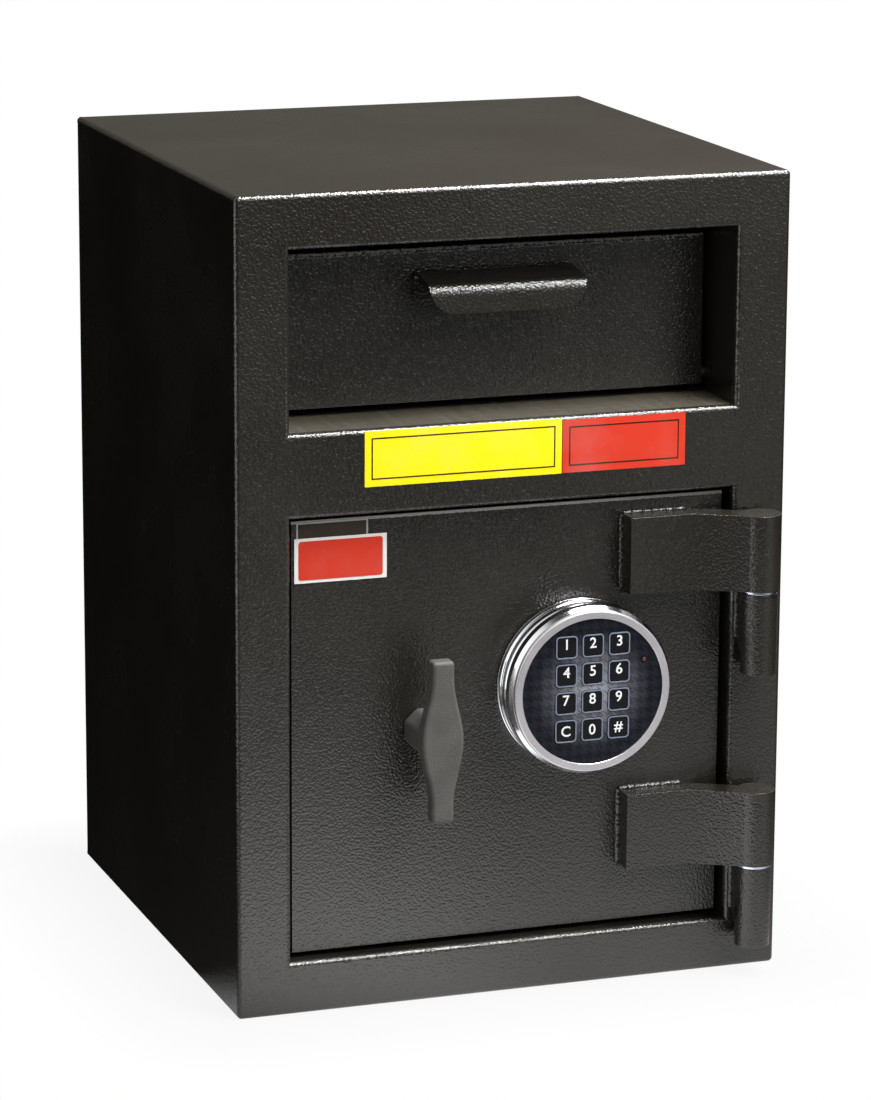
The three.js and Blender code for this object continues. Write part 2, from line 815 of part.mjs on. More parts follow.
// Handle and what turns with it, from the handle axis on the door face
function handleOutline() {
  const end = handleLength / 2;
  const endHalf = handleEndWidth / 2;
  const middleHalf = handleMiddleWidth / 2;
  const waistHalf = handleWaistWidth / 2;
  const curve = new THREE.CubicBezierCurve(
    new THREE.Vector2(middleHalf, handleShoulder),
    new THREE.Vector2(waistHalf, handleShoulder + (middleHalf - waistHalf)),
    new THREE.Vector2(waistHalf, handleWaistDistance),
    new THREE.Vector2(endHalf, end),
  );
  const right = curve.getPoints(handleCurveSteps).map(({ x, y }) => [x, y]);
  const upperLeft = right.map(([x, z]) => [-x, z]).reverse();
  const lowerLeft = right.map(([x, z]) => [-x, -z]);
  const lowerRight = right.map(([x, z]) => [x, -z]).reverse();
  return [...right, ...upperLeft, ...lowerLeft, ...lowerRight];
}

function tHandle() {
  const barBack = -handleShankLength;
  const bar = prism(handleOutline(), 'y', barBack - handleBarThickness, barBack);
  const start = halfTurn / handleShankSides;
  const corner = handleShankAcrossFlats / 2 / Math.cos(start);
  const octagon = arc(0, 0, corner, start, start + fullTurn, handleShankSides).slice(0, handleShankSides);
  const shank = prism(octagon, 'y', barBack - seatGap, -seatGap);
  const socket = rod('y', 0, 0, spindleRadius + seatGap, -handleSocketDepth, overrun);
  return cut(join(bar, shank), socket);
}

function handleSpindle() {
  const groove = spindleRadius - spindleGrooveDepth;
  return turned([
    [0, seatGap - handleSocketDepth],
    [spindleRadius, seatGap - handleSocketDepth],
    [spindleRadius, spindleGrooveStart],
    [groove, spindleGrooveStart],
    [groove, spindleGrooveStart + spindleGrooveWidth],
    [spindleRadius, spindleGrooveStart + spindleGrooveWidth],
    [spindleRadius, spindleEnd],
    [0, spindleEnd],
  ], 'y', roundSides);
}

function handleBushing() {
  const bore = spindleRadius + seatGap;
  return turned([
    [bore, 0],
    [bushingRadius, 0],
    [bushingRadius, doorThickness],
    [bushingFlangeRadius, doorThickness],
    [bushingFlangeRadius, doorThickness + bushingFlangeThickness],
    [bore, doorThickness + bushingFlangeThickness],
    [bore, 0],
  ], 'y', roundSides);
}

function driveCam() {
  const rear = camFront + camThickness;
  const hub = rod('y', 0, 0, camHubRadius, camFront, rear);
  const tip = rod('y', camPinOffset, -camPinOffset, camTipRadius, camFront, rear);
  const across = Math.SQRT1_2;
  const web = prism([
    [-camHubRadius * across, -camHubRadius * across],
    [camPinOffset - camTipRadius * across, -camPinOffset - camTipRadius * across],
    [camPinOffset + camTipRadius * across, -camPinOffset + camTipRadius * across],
    [camHubRadius * across, camHubRadius * across],
  ], 'y', camFront, rear);
  const pinEnd = carriageFront + carriageThickness + camPinProud;
  const pin = rod('y', camPinOffset, -camPinOffset, camPinRadius, rear - seatGap, pinEnd);
  const bore = rod('y', 0, 0, spindleRadius + seatGap, camFront - overrun, rear + overrun);
  return cut(join(hub, tip, web, pin), bore);
}

function spindleClip() {
  const start = spindleGrooveStart + seatGap;
  const end = spindleGrooveStart + spindleGrooveWidth - seatGap;
  const inner = spindleRadius - spindleGrooveDepth + seatGap;
  const hole = circle(0, 0, inner, roundSides);
  const ring = prism(circle(0, 0, clipRadius, roundSides), 'y', start, end, [hole]);
  return cut(ring, block(-inner / 2, inner / 2, start - overrun, end + overrun, 0, clipRadius + overrun));
}

// Lock, in the door's frame
const lockLeft = keypadX - lockWidth / 2;
const lockRight = keypadX + lockWidth / 2;
const lockBottom = carriageTop + lockOverCarriage;
const lockTop = lockBottom + lockHeight;
const lockFront = doorThickness + hardPlateThickness;
const lockBoltFront = carriageFront + (carriageThickness - lockBoltDepth) / 2;
const lockBoltRear = lockBoltFront + lockBoltDepth;
const lockRear = lockBoltRear + 2 * seatGap;
const lockBoltTip = lockBottom - lockBoltNose;
const lockScrewPlaces = {
  upper: [lockLeft + lockScrewInset, lockTop - lockScrewInset],
  lower: [lockRight - lockScrewInset, lockBottom + lockScrewInset],
};

function cableHole(from, to) {
  return rod('y', keypadX, keypadRise, cableHoleRadius, from - overrun, to + overrun);
}

function hardPlate() {
  const plate = block(lockLeft, lockRight, doorThickness, lockFront, lockBottom, lockTop);
  return cut(plate, cableHole(doorThickness, lockFront));
}

function lockCase() {
  const shell = block(lockLeft, lockRight, lockFront, lockRear, lockBottom, lockTop);
  const cavity = block(
    lockLeft + lockWall, lockRight - lockWall, lockFront + lockWall, lockRear + overrun,
    lockBottom + lockWall, lockTop - lockWall);
  const bosses = Object.values(lockScrewPlaces).map(([x, z]) => rod(
    'y', x, z, lockBossRadius, lockFront + lockWall / 2, lockRear, smallSides));
  const borings = Object.values(lockScrewPlaces).map(([x, z]) => rod(
    'y', x, z, lockScrewRadius + seatGap, lockRear - lockScrewLength, lockRear + overrun, ledSides));
  const boltHalf = lockBoltWidth / 2 + seatGap;
  const boltWay = block(
    keypadX - boltHalf, keypadX + boltHalf, lockBoltFront - seatGap,
    lockBoltRear + seatGap, lockBottom - overrun, lockBottom + lockWall + seatGap);
  const open = cut(shell, cavity);
  return cut(join(open, ...bosses), boltWay, cableHole(lockFront, lockFront), ...borings);
}

function lockCover() {
  const rear = lockRear + lockCoverThickness;
  const plate = block(lockLeft, lockRight, lockRear, rear, lockBottom, lockTop);
  const borings = Object.values(lockScrewPlaces).map(([x, z]) => rod(
    'y', x, z, lockScrewRadius + seatGap, lockRear - overrun, rear + overrun, ledSides));
  const plugRadius = cableRadius + seatGap;
  const plugHole = rod(
    'y', keypadX, lockTop - lockPlugDrop, plugRadius, lockRear - overrun, rear + overrun, ledSides);
  return cut(plate, cableHole(lockRear, rear), plugHole, ...borings);
}

function lockScrew() {
  const rear = lockRear + lockCoverThickness;
  return turned([
    [0, lockRear - lockScrewLength + seatGap],
    [lockScrewRadius, lockRear - lockScrewLength + seatGap],
    [lockScrewRadius, rear],
    [lockScrewHeadRadius, rear],
    [lockScrewHeadRadius, rear + lockScrewHeadHeight],
    [0, rear + lockScrewHeadHeight],
  ], 'y', ledSides);
}

function lockBolt() {
  const left = keypadX - lockBoltWidth / 2;
  const head = keypadRise - cableHoleRadius - lockBoltUnderCable;
  const tail = head + lockBoltTailHeight;
  return prism([
    [left, lockBoltTip],
    [left + lockBoltWidth, lockBoltTip],
    [left + lockBoltWidth, head],
    [left + lockBoltTailWidth, head],
    [left + lockBoltTailWidth, tail],
    [left, tail],
  ], 'y', lockBoltFront, lockBoltRear);
}

// The lead from the keypad's board, through the door and the lock, to its plug hole
function keypadCable() {
  const rear = lockRear + lockCoverThickness;
  const plugZ = lockTop - lockPlugDrop;
  const reach = cableBendRadius;
  const start = boardFront + boardThickness + seatGap;
  const curve = new THREE.CurvePath();
  const at = (y, z) => new THREE.Vector3(keypadX, y, z);
  curve.add(new THREE.LineCurve3(at(start, keypadRise), at(rear, keypadRise)));
  curve.add(new THREE.QuadraticBezierCurve3(
    at(rear, keypadRise), at(rear + reach, keypadRise), at(rear + reach, keypadRise + reach)));
  curve.add(new THREE.LineCurve3(
    at(rear + reach, keypadRise + reach), at(rear + reach, plugZ - reach)));
  curve.add(new THREE.QuadraticBezierCurve3(
    at(rear + reach, plugZ - reach), at(rear + reach, plugZ), at(rear, plugZ)));
  curve.add(new THREE.LineCurve3(at(rear, plugZ), at(lockRear, plugZ)));
  const section = pathOf(circle(0, 0, cableRadius, cableSides), THREE.Shape);
  return new THREE.ExtrudeGeometry(section, { steps: cableSteps, bevelEnabled: false, extrudePath: curve });
}

// Keypad, from its centre on the door face, forwards along -Y
function keypadHousing() {
  const wall = housingRadius - keypadInnerRadius;
  const outer = ridge_shares.map(([radiusShare, depthShare]) => [
    keypadInnerRadius + wall * radiusShare, keypadHousingFront * depthShare]);
  return turned([...outer, outer[0]].reverse(), 'y', ringSides);
}

function keypadBase() {
  const disc = circle(0, 0, keypadInnerRadius - seatGap, ringSides);
  return prism(disc, 'y', -keypadBaseThickness, 0, [circle(0, 0, cableHoleRadius, roundSides)]);
}

function keypadBezel() {
  return turned([
    [bezelInnerRadius, keypadHousingFront],
    [bezelInnerRadius, -keypadDepth],
    [keypadRadius - bezelChamfer, -keypadDepth],
    [keypadRadius, bezelChamfer - keypadDepth],
    [keypadRadius, keypadHousingFront],
    [bezelInnerRadius, keypadHousingFront],
  ], 'y', ringSides);
}

function keyRectangle(x, z, grow) {
  const halfWidth = keyWidth / 2 + grow;
  const halfHeight = keyHeight / 2 + grow;
  return roundedRectangle(
    x - halfWidth, x + halfWidth, z - halfHeight, z + halfHeight, keyRadius + grow, keyCornerSteps);
}

const keyNames = ['1', '2', '3', '4', '5', '6', '7', '8', '9', 'clear', '0', 'hash'];
const keyPlaces = keyNames.map((name, place) => {
  const column = place % 3;
  const row = Math.floor(place / 3);
  return { name: `key_${name}`, x: (column - 1) * keyPitchX, z: keyGridRise + (3 / 2 - row) * keyPitchZ };
});

function keypadFace() {
  const disc = circle(0, 0, bezelInnerRadius - seatGap, ringSides);
  const holes = keyPlaces.map(({ x, z }) => keyRectangle(x, z, seatGap));
  holes.push(circle(ledX, ledRise, ledRadius + seatGap, ledSides));
  return prism(disc, 'y', faceRecess - keypadDepth, faceBack, holes);
}

function keyCap() {
  const shank = faceBack + seatGap;
  const front = faceRecess - keyProud - keypadDepth;
  const cap = prism(keyRectangle(0, 0, 0), 'y', front, shank + keyFlangeThickness / 2);
  const flange = prism(keyRectangle(0, 0, keyFlangeWidth), 'y', shank, keyBack);
  return join(cap, flange);
}

function circuitBoard() {
  const disc = circle(0, 0, keypadInnerRadius - seatGap, ringSides);
  return prism(disc, 'y', boardFront, boardFront + boardThickness);
}

function ledLens() {
  const front = faceRecess - seatGap - keypadDepth;
  return turned([
    [0, boardFront - seatGap],
    [ledRadius, boardFront - seatGap],
    [ledRadius, front],
    [0, front - seatGap],
  ].reverse(), 'y', ledSides);
}

function battery() {
  const back = -keypadBaseThickness - seatGap;
  const side = batteryWidth / 2;
  return block(-side, side, back - batteryDepth, back, batteryTop - batteryHeight, batteryTop);
}

// Assemblies
function bodyAssembly() {
  const group = assembly(
    0, 0, 0,
    piece('body_wrap', bodyWrap(), finishes.coat),
    piece('front_frame', frontFrame(), finishes.coat),
    piece('back_panel', backPanel(), finishes.coat),
    piece('deposit_throat', depositThroat(), finishes.coat),
    piece('drop_shelf', dropShelf(), finishes.coat),
    piece('anti_fish_baffle', antiFishBaffle(), finishes.darkCoat),
    piece('door_stop', doorStop(), finishes.coat),
    assembly(
      0, rodY, rodHeight,
      piece('drawer_rod', drawerRod(), finishes.bareSteel),
      piece('rod_clip', rodClip(), finishes.bareSteel),
    ),
  );
  const barrel = piece('barrel', hingeBarrel(), finishes.coat);
  const pin = piece('pin', hingePin(), finishes.bareSteel);
  const washer = piece('washer', hingeWasher(), finishes.bareSteel);
  for (const [level, height] of Object.entries(hingeBaseHeights)) {
    group.add(assembly(
      hingeAxisX, frontY - hingeStandoff, height,
      copyAt(`hinge_barrel_${level}`, barrel, 0, 0, 0),
      copyAt(`hinge_pin_${level}`, pin, 0, 0, 0),
      copyAt(`hinge_washer_${level}`, washer, 0, 0, 0),
    ));
  }
  return group;
}

function drawerAssembly() {
  const cheek = piece('cheek', drawerCheek(), finishes.coat);
  return assembly(
    0, rodY, rodHeight,
    piece('drawer_front', drawerFront(), finishes.coat),
    piece('drawer_pull', drawerPull(), finishes.coat),
    piece('drawer_tray', drawerTray(), finishes.coat),
    copyAt('drawer_cheek_left', cheek, -cheekOuter, 0, 0),
    copyAt('drawer_cheek_right', cheek, cheekOuter - cheekThickness, 0, 0),
  );
}

function keypadAssembly() {
  const key = piece('key', keyCap(), finishes.key);
  return assembly(
    keypadX, 0, keypadRise,
    piece('keypad_housing', keypadHousing(), finishes.chrome),
    piece('keypad_base', keypadBase(), finishes.castZinc),
    piece('keypad_bezel', keypadBezel(), finishes.satin),
    piece('keypad_face', keypadFace(), finishes.face),
    piece('circuit_board', circuitBoard(), finishes.board),
    piece('battery', battery(), finishes.battery),
    copyAt('led_lens', piece('lens', ledLens(), finishes.led), ledX, 0, ledRise),
    ...keyPlaces.map(({ name, x, z }) => copyAt(name, key, x, 0, z)),
  );
}

function boltworkAssembly() {
  const plunger = piece('bolt', bolt(), finishes.zinc);
  return assembly(
    0, 0, 0,
    piece('bolt_bar', boltBar(), finishes.bareSteel),
    ...Object.entries(boltHeights()).map(([level, height]) => copyAt(
      `bolt_${level}`, plunger, 0, boltSetback, height)),
  );
}

function handleAssembly() {
  return assembly(
    handleX, 0, 0,
    piece('t_handle', tHandle(), finishes.handle),
    piece('handle_spindle', handleSpindle(), finishes.bareSteel),
    piece('drive_cam', driveCam(), finishes.bareSteel),
    piece('spindle_clip', spindleClip(), finishes.bareSteel),
    piece('handle_bushing', handleBushing(), finishes.brass),
  );
}

function lockAssembly() {
  const screw = piece('screw', lockScrew(), finishes.zinc);
  return assembly(
    0, 0, 0,
    piece('hard_plate', hardPlate(), finishes.bareSteel),
    piece('lock_case', lockCase(), finishes.castZinc),
    piece('lock_cover', lockCover(), finishes.zinc),
    piece('lock_bolt', lockBolt(), finishes.brass),
    piece('keypad_cable', keypadCable(), finishes.rubber),
    ...Object.entries(lockScrewPlaces).map(([level, [x, z]]) => copyAt(
      `lock_screw_${level}`, screw, x, 0, z)),
  );
}

function doorAssembly() {
  const arm = piece('arm', hingeArm(), finishes.coat);
  const arms = Object.entries(hingeBaseHeights).map(([level, height]) => copyAt(
    `hinge_arm_${level}`, arm, 0, 0, height + knuckleBase - doorCentreZ));
  return assembly(
    0, doorFaceY, doorCentreZ,
    piece('door_plate', doorPlate(), finishes.coat),
    piece('bolt_guide', boltGuide(), finishes.coat),
    piece('dead_bar', deadBar(), finishes.coat),
    ...arms,
    handleAssembly(),
    boltworkAssembly(),
    lockAssembly(),
    keypadAssembly(),
  );
}

const group = assembly(0, 0, 0, bodyAssembly(), drawerAssembly(), doorAssembly());

export default group;
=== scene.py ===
# Drop safe with deposit drawer: fine shapes, finishes, light and camera.
# Metres, +Z up, the front faces -Y, the origin is the middle of the base.
import itertools
import json
import math

import bmesh
import bpy
from mathutils import Matrix, Vector

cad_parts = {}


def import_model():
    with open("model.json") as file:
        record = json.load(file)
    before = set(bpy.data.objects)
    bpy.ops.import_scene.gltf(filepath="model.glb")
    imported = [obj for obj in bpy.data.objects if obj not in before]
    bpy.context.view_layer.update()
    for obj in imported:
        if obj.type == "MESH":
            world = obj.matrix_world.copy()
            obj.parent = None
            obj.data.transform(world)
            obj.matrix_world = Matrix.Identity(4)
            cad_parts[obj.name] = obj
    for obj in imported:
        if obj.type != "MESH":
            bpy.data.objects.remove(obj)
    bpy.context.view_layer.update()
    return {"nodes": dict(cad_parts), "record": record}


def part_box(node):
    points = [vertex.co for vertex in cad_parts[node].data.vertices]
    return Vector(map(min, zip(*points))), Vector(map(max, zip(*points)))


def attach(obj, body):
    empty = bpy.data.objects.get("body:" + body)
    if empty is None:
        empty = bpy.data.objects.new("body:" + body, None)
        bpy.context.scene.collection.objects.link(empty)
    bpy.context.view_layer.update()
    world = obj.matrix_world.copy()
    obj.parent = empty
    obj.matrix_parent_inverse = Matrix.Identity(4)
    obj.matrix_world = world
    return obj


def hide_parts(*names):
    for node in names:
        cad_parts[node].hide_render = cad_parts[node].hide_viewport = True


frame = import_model()

# Camera, from the photograph's perspective
CAMERA_PLACE = (-0.9268, -2.6612, 0.91495)
CAMERA_FORWARD = (0.32330858, 0.91736783, -0.23218057)
CAMERA_ROLL = 0.00515
CAMERA_LENS = 146.35

# Edges and steps that the whole model shares
EDGE_KEY = 0.00005
EDGE_RIDGE = 0.00012
EDGE_SMALL = 0.0003
EDGE_PLATE = 0.0007
EDGE_CAST = 0.0012
EDGE_DOOR = 0.0020
BEND_SEGMENTS = 8
EDGE_SEGMENTS = 3
FEW_SEGMENTS = 2
HANDLE_EDGE_SEGMENTS = 4
DOOR_EDGE_SEGMENTS = 5
SMOOTH_ANGLE = math.radians(38)
FLAT_ANGLE = math.radians(0.4)
QUARTER_TURN = math.pi / 2
MERGE = 1e-6
ROUND_SIDES = 64
RING_SIDES = 160

# Body and openings
BODY_EDGE_RADIUS = 0.003
FLARE_RADIUS = 0.0032
REAR_EDGE_RADIUS = 0.0012
DOOR_GAP = 0.0035
DRAWER_GAP_BELOW = 0.005
ANCHOR_HOLE_RADIUS = 0.00675
ANCHOR_HOLE_INSET = 0.0778

# Drawer front and its pull
SHEET_BEND_RADIUS = 0.0035
DRAWER_SHEET = 0.0025
PULL_SHEET = 0.002
PULL_FALL = 0.003
PULL_FLANGE_HEIGHT = 0.019
PULL_BACK_RADIUS = 0.005
PULL_FRONT_RADIUS = 0.008
PULL_CORNER_RADIUS = 0.017
PULL_FLANGE_RADIUS = 0.004
PULL_FLANGE_STEPS = 12
PULL_LIP_STEPS = 16

# Handle
HANDLE_END_WIDTH = 0.0139
HANDLE_MIDDLE_WIDTH = 0.0265
HANDLE_SWELL = 0.040
HANDLE_THICKNESS = 0.011
HANDLE_SHANK = 0.027
HANDLE_SHANK_SIDES = 8
HANDLE_EDGE = 0.0022
HANDLE_STEPS = 40

# Welds
WELD_RADIUS = 0.0023
WELD_RIPPLE_PITCH = 0.0034
WELD_RIPPLE_SHARE = 0.035
WELD_WANDERS = ((0.07, 410.0), (0.04, 977.0))
WELD_STEP = 0.0005
WELD_SIDES = 10
ARM_WELD_REACH = 0.0530
TANG_WELD_LEFT = 0.0083
TANG_WELD_RIGHT = 0.003
TANG_WELD_FOOT = 0.0205

# Keypad, measured forwards from the door face
KEYPAD_BAND_SHARES = (
    (0.00, 0.11, 1.00, 0.00, 0.00),
    (0.135, 0.30, 0.74, 0.26, 0.00),
    (0.32, 0.37, 0.72, 0.00, 0.00),
    (0.385, 0.60, 0.74, 0.25, 0.00),
    (0.62, 0.66, 0.70, 0.00, 0.00),
    (0.68, 0.89, 0.97, 0.02, 0.00),
    (0.905, 1.00, 0.99, 0.00, 0.37),
)
BAND_STEPS = 12
KEYPAD_INNER_RADIUS = 0.0476
BEZEL_WIDTH = 0.005
BEZEL_EDGE_RADIUS = 0.0012
BEZEL_INNER_EDGE = 0.0002
KEY_FLANGE_WIDTH = 0.0009
KEY_FLANGE_THICKNESS = 0.0007
KEY_CORNER_RADIUS = 0.0026
KEY_CORNER_STEPS = 8
LENS_RADIUS = 0.00125
COLLAR_STEP = 0.0003
RIM_WIDTH = 0.0008
RIM_RISE = 0.00012
DIGIT_HEIGHT = 0.0068
DIGIT_RISE = 0.0019
INK_THICKNESS = 0.00006
INK_SPREAD = 0.00011
FONT_CAP_SHARE = 0.73
GLYPH_STEPS = 5

# Labels: left, right, bottom and top, from the middle of the base
LABEL_THICKNESS = 0.00018
LABEL_LINE = 0.0009
YELLOW_LABEL = (-0.0968, 0.0295, 0.3284, 0.3625)
RED_LABEL = (0.0300, 0.1105, 0.3285, 0.3615)
WHITE_LABEL = (-0.1382, -0.0795, 0.2695, 0.2972)
DOOR_PLATE_BADGE = (-0.1368, -0.0914, 0.2940, 0.3070)
LABEL_LINE_INSET = 0.0042
LABEL_CORNER_RADIUS = 0.0004
LABEL_CORNER_STEPS = 3
LINE_OUTER_RADIUS = 0.0003
LINE_INNER_RADIUS = 0.0002
LINE_CORNER_STEPS = 2
RED_FIELD_INSET = 0.0026
RED_FIELD_INSET_SHARE = 0.7
RED_FIELD_RADIUS = 0.0016
BADGE_RIM = 0.0011

# Powder coat, with a painted highlight along the top bends of the door and drawer, and painted light on the
# throat's sill
COAT_COLOR = (0.0125, 0.0106, 0.0074)
COAT_PALE = (0.0195, 0.0172, 0.0130)
COAT_SPECULAR = 0.85
COAT_ROUGHNESS = (0.21, 0.30)
COAT_CLOUD_SCALE = 9.0
COAT_GRAIN_SCALE = 690.0
COAT_GRAIN_DEPTH = 0.00034
COAT_FINE_RATIO = 2.3
COAT_FINE_SHARE = 0.18
COAT_SPECK_SCALE = 170.0
COAT_SPECK_COLOR = (0.30, 0.29, 0.27)
# Painted highlight: a pale ragged line along the top bend of the door plate and the drawer front
EDGE_HIGHLIGHT_COLOR = (0.42, 0.41, 0.38)
EDGE_HIGHLIGHT_DEPTHS = {"door_plate": 0.0019, "drawer_front": 0.0024}
EDGE_HIGHLIGHT_RAGGED = 0.0008
EDGE_HIGHLIGHT_FADE = 0.0003
# Painted light on the throat's upward faces, lighter in streaks
PAINTED_SILL_LIGHT = (0.078, 0.068, 0.050)
PAINTED_SILL_LIGHT_PALE = (0.124, 0.108, 0.082)
STREAK_STRETCH = (260.0, 6.0, 6.0)

# Other finishes
METAL_WEAR_SCALE = 60.0
METAL_LINE_SCALE = 400.0
PLASTIC_CLOUD_SCALE = 240.0
PLASTIC_GRAIN_SCALE = 2200.0
SCRATCH_DEPTH = 0.00001
CASTING_DEPTH = 0.00003
SATIN_DEPTH = 0.000002
MOULDED_GRAIN = 0.00002
HANDLE_DARK = (0.056, 0.054, 0.050)
HANDLE_LIGHT = (0.118, 0.113, 0.104)
HANDLE_SPECKLE_SCALE = 1500.0
HANDLE_CLOUD_SCALE = 55.0
HANDLE_GRAIN_DEPTH = 0.00028
WEAVE_PITCH = 0.0066
GLOW_EDGE = 0.040
GLOW_MIDDLE = 0.003
GROUND_DARK = (0.0075, 0.0090, 0.0170)
GROUND_LIGHT = (0.300, 0.305, 0.340)
THREAD_DARK = (0.0020, 0.0025, 0.0050)
THREAD_LIGHT = (0.170, 0.175, 0.205)
KEY_DARK = (0.003, 0.003, 0.004)
KEY_LIGHT = (0.009, 0.009, 0.012)
KEY_CLOUD_SCALE = 160.0
KEY_GRAIN_DEPTH = 0.0001
FILM_CLOUD_SCALE = 35.0
FILM_CREASE_SCALE = 60.0
FILM_CREASE_DEPTH = 0.00004
FILM_PINHOLE_SCALE = 420.0
FILM_PINHOLE_COLOR = (0.85, 0.83, 0.78)
LENS_DARK = (0.085, 0.022, 0.024)
LENS_LIGHT = (0.150, 0.032, 0.034)
LENS_CLOUD_SCALE = 900.0
CHROME_DARK = (0.78, 0.79, 0.82)
CHROME_LIGHT = (0.86, 0.87, 0.89)
# Painted shade on the chrome's upward faces
CHROME_PAINTED_SHADE = (0.30, 0.30, 0.31)
CHROME_ROUGHNESS = (0.10, 0.16)
CHROME_HAZE_SCALE = 45.0

# Light: sides are directions, and a ramp gives the cosines or heights where a glow starts and is full
AMBIENT = 0.42
WORLD_GLOSS = 0.06
WINDOW_SIDE = (-0.97, -0.25, 0.0)
WINDOW_RAMP = (0.91, 0.97)
WINDOW_DISTANCES = (0.6, 0.9)
WINDOW_STRENGTH = 1.6
STRIP_SIDE = (0.20, -0.98, 0.0)
STRIP_RAMP = (0.95, 0.99)
STRIP_FOOT = (0.10, 0.16)
STRIP_TOP = (0.32, 0.26)
STRIP_STRENGTH = 2.2
BACK_SIDE = (0.33, 0.94, 0.0)
BACK_RAMP = (0.4, 0.9)
BACK_STRENGTH = 0.085
BACK_COLOR = (1.0, 0.93, 0.82)
LAMPS = (
    ("overhead", (0.47, -0.40, 1.60), (0.0, -0.15, 0.3), (1.0, 0.6), 55.0),
    ("front", (1.20, -1.90, 2.00), (0.0, -0.1, 0.25), (1.0, 1.0), 45.0),
    ("rear", (2.30, 1.50, 1.60), (0.0, 0.0, 0.25), (1.2, 1.2), 25.0),
)

# Floor
FLOOR_HALF_SIZE = 30.0
FLOOR_ALBEDO = 0.25
CONTACT_REACH = 0.10
CONTACT_SHARE = 0.90
FRONT_SIDE = (0.30, -0.95, 0.0)
FRONT_RAMP = (0.1, 0.9)
FRONT_LEAST = 0.02
FAR_SIDE = (0.60, -0.80, 0.0)
FAR_RAMP = (0.93, 0.99)
FAR_STRENGTH = 0.24
# A pool of light painted on the floor for glossy rays
POOL_CENTRE = (-0.14, -0.30, 0.0)
POOL_RADIUS = 0.22
POOL_STRENGTH = 2.2

bodies = frame["record"]["behaviour"]["bodies"]
BODY_OF = {node: body for body, nodes in bodies.items() for node in nodes}
SLOT_OF = {part["node"]: part["material_slot"] for part in frame["record"]["subparts"]}


# Node graphs for the finishes
class Graph:
    def __init__(self, tree):
        self.tree = tree
        self.tree.nodes.clear()

    def add(self, kind, inputs=None, **settings):
        node = self.tree.nodes.new("ShaderNode" + kind)
        for name, value in settings.items():
            setattr(node, name, value)
        for socket, value in (inputs or {}).items():
            self.feed(node.inputs[socket], value)
        return node

    def feed(self, socket, value):
        if isinstance(value, bpy.types.NodeSocket):
            self.tree.links.new(value, socket)
        elif value is not None:
            socket.default_value = value

    def math(self, operation, *values, clamp=False):
        node = self.add("Math", operation=operation, use_clamp=clamp)
        for place, value in enumerate(values):
            self.feed(node.inputs[place], value)
        return node.outputs[0]

    def mix(self, factor, first, second):
        node = self.add("Mix", data_type="RGBA")
        self.feed(node.inputs[0], factor)
        self.feed(node.inputs[6], first)
        self.feed(node.inputs[7], second)
        return node.outputs[2]

    def ramp(self, value, low, high, low_out=0.0, high_out=1.0):
        return self.add("MapRange", {0: value, 1: low, 2: high, 3: low_out, 4: high_out}).outputs[0]

    def noise(self, place, scale, detail=2.0, roughness=0.5, distortion=0.0):
        inputs = {"Vector": place, "Scale": scale, "Detail": detail,
                  "Roughness": roughness, "Distortion": distortion}
        return self.add("TexNoise", inputs).outputs[0]

    def place(self, scale=(1, 1, 1), shift=(0, 0, 0)):
        coordinates = self.add("TexCoord").outputs["Object"]
        if scale == (1, 1, 1) and shift == (0, 0, 0):
            return coordinates
        return self.add("Mapping", {0: coordinates, 1: shift, 3: scale}).outputs[0]

    def upward(self):
        normal = self.add("NewGeometry").outputs["Normal"]
        return self.add("SeparateXYZ", {0: normal}).outputs[2]

    def bump(self, height, distance, strength=1.0):
        inputs = {"Height": height, "Distance": distance, "Strength": strength}
        return self.add("Bump", inputs).outputs[0]


def rgba(color):
    return (*color, 1.0)


def surface(name, **sockets):
    material = bpy.data.materials.new(name)
    material.use_nodes = True
    graph = Graph(material.node_tree)
    shader = graph.add("BsdfPrincipled")
    output = graph.add("OutputMaterial")
    graph.feed(output.inputs[0], shader.outputs[0])
    for socket, value in sockets.items():
        shader.inputs[socket.replace("_", " ")].default_value = value
    return material, graph, shader


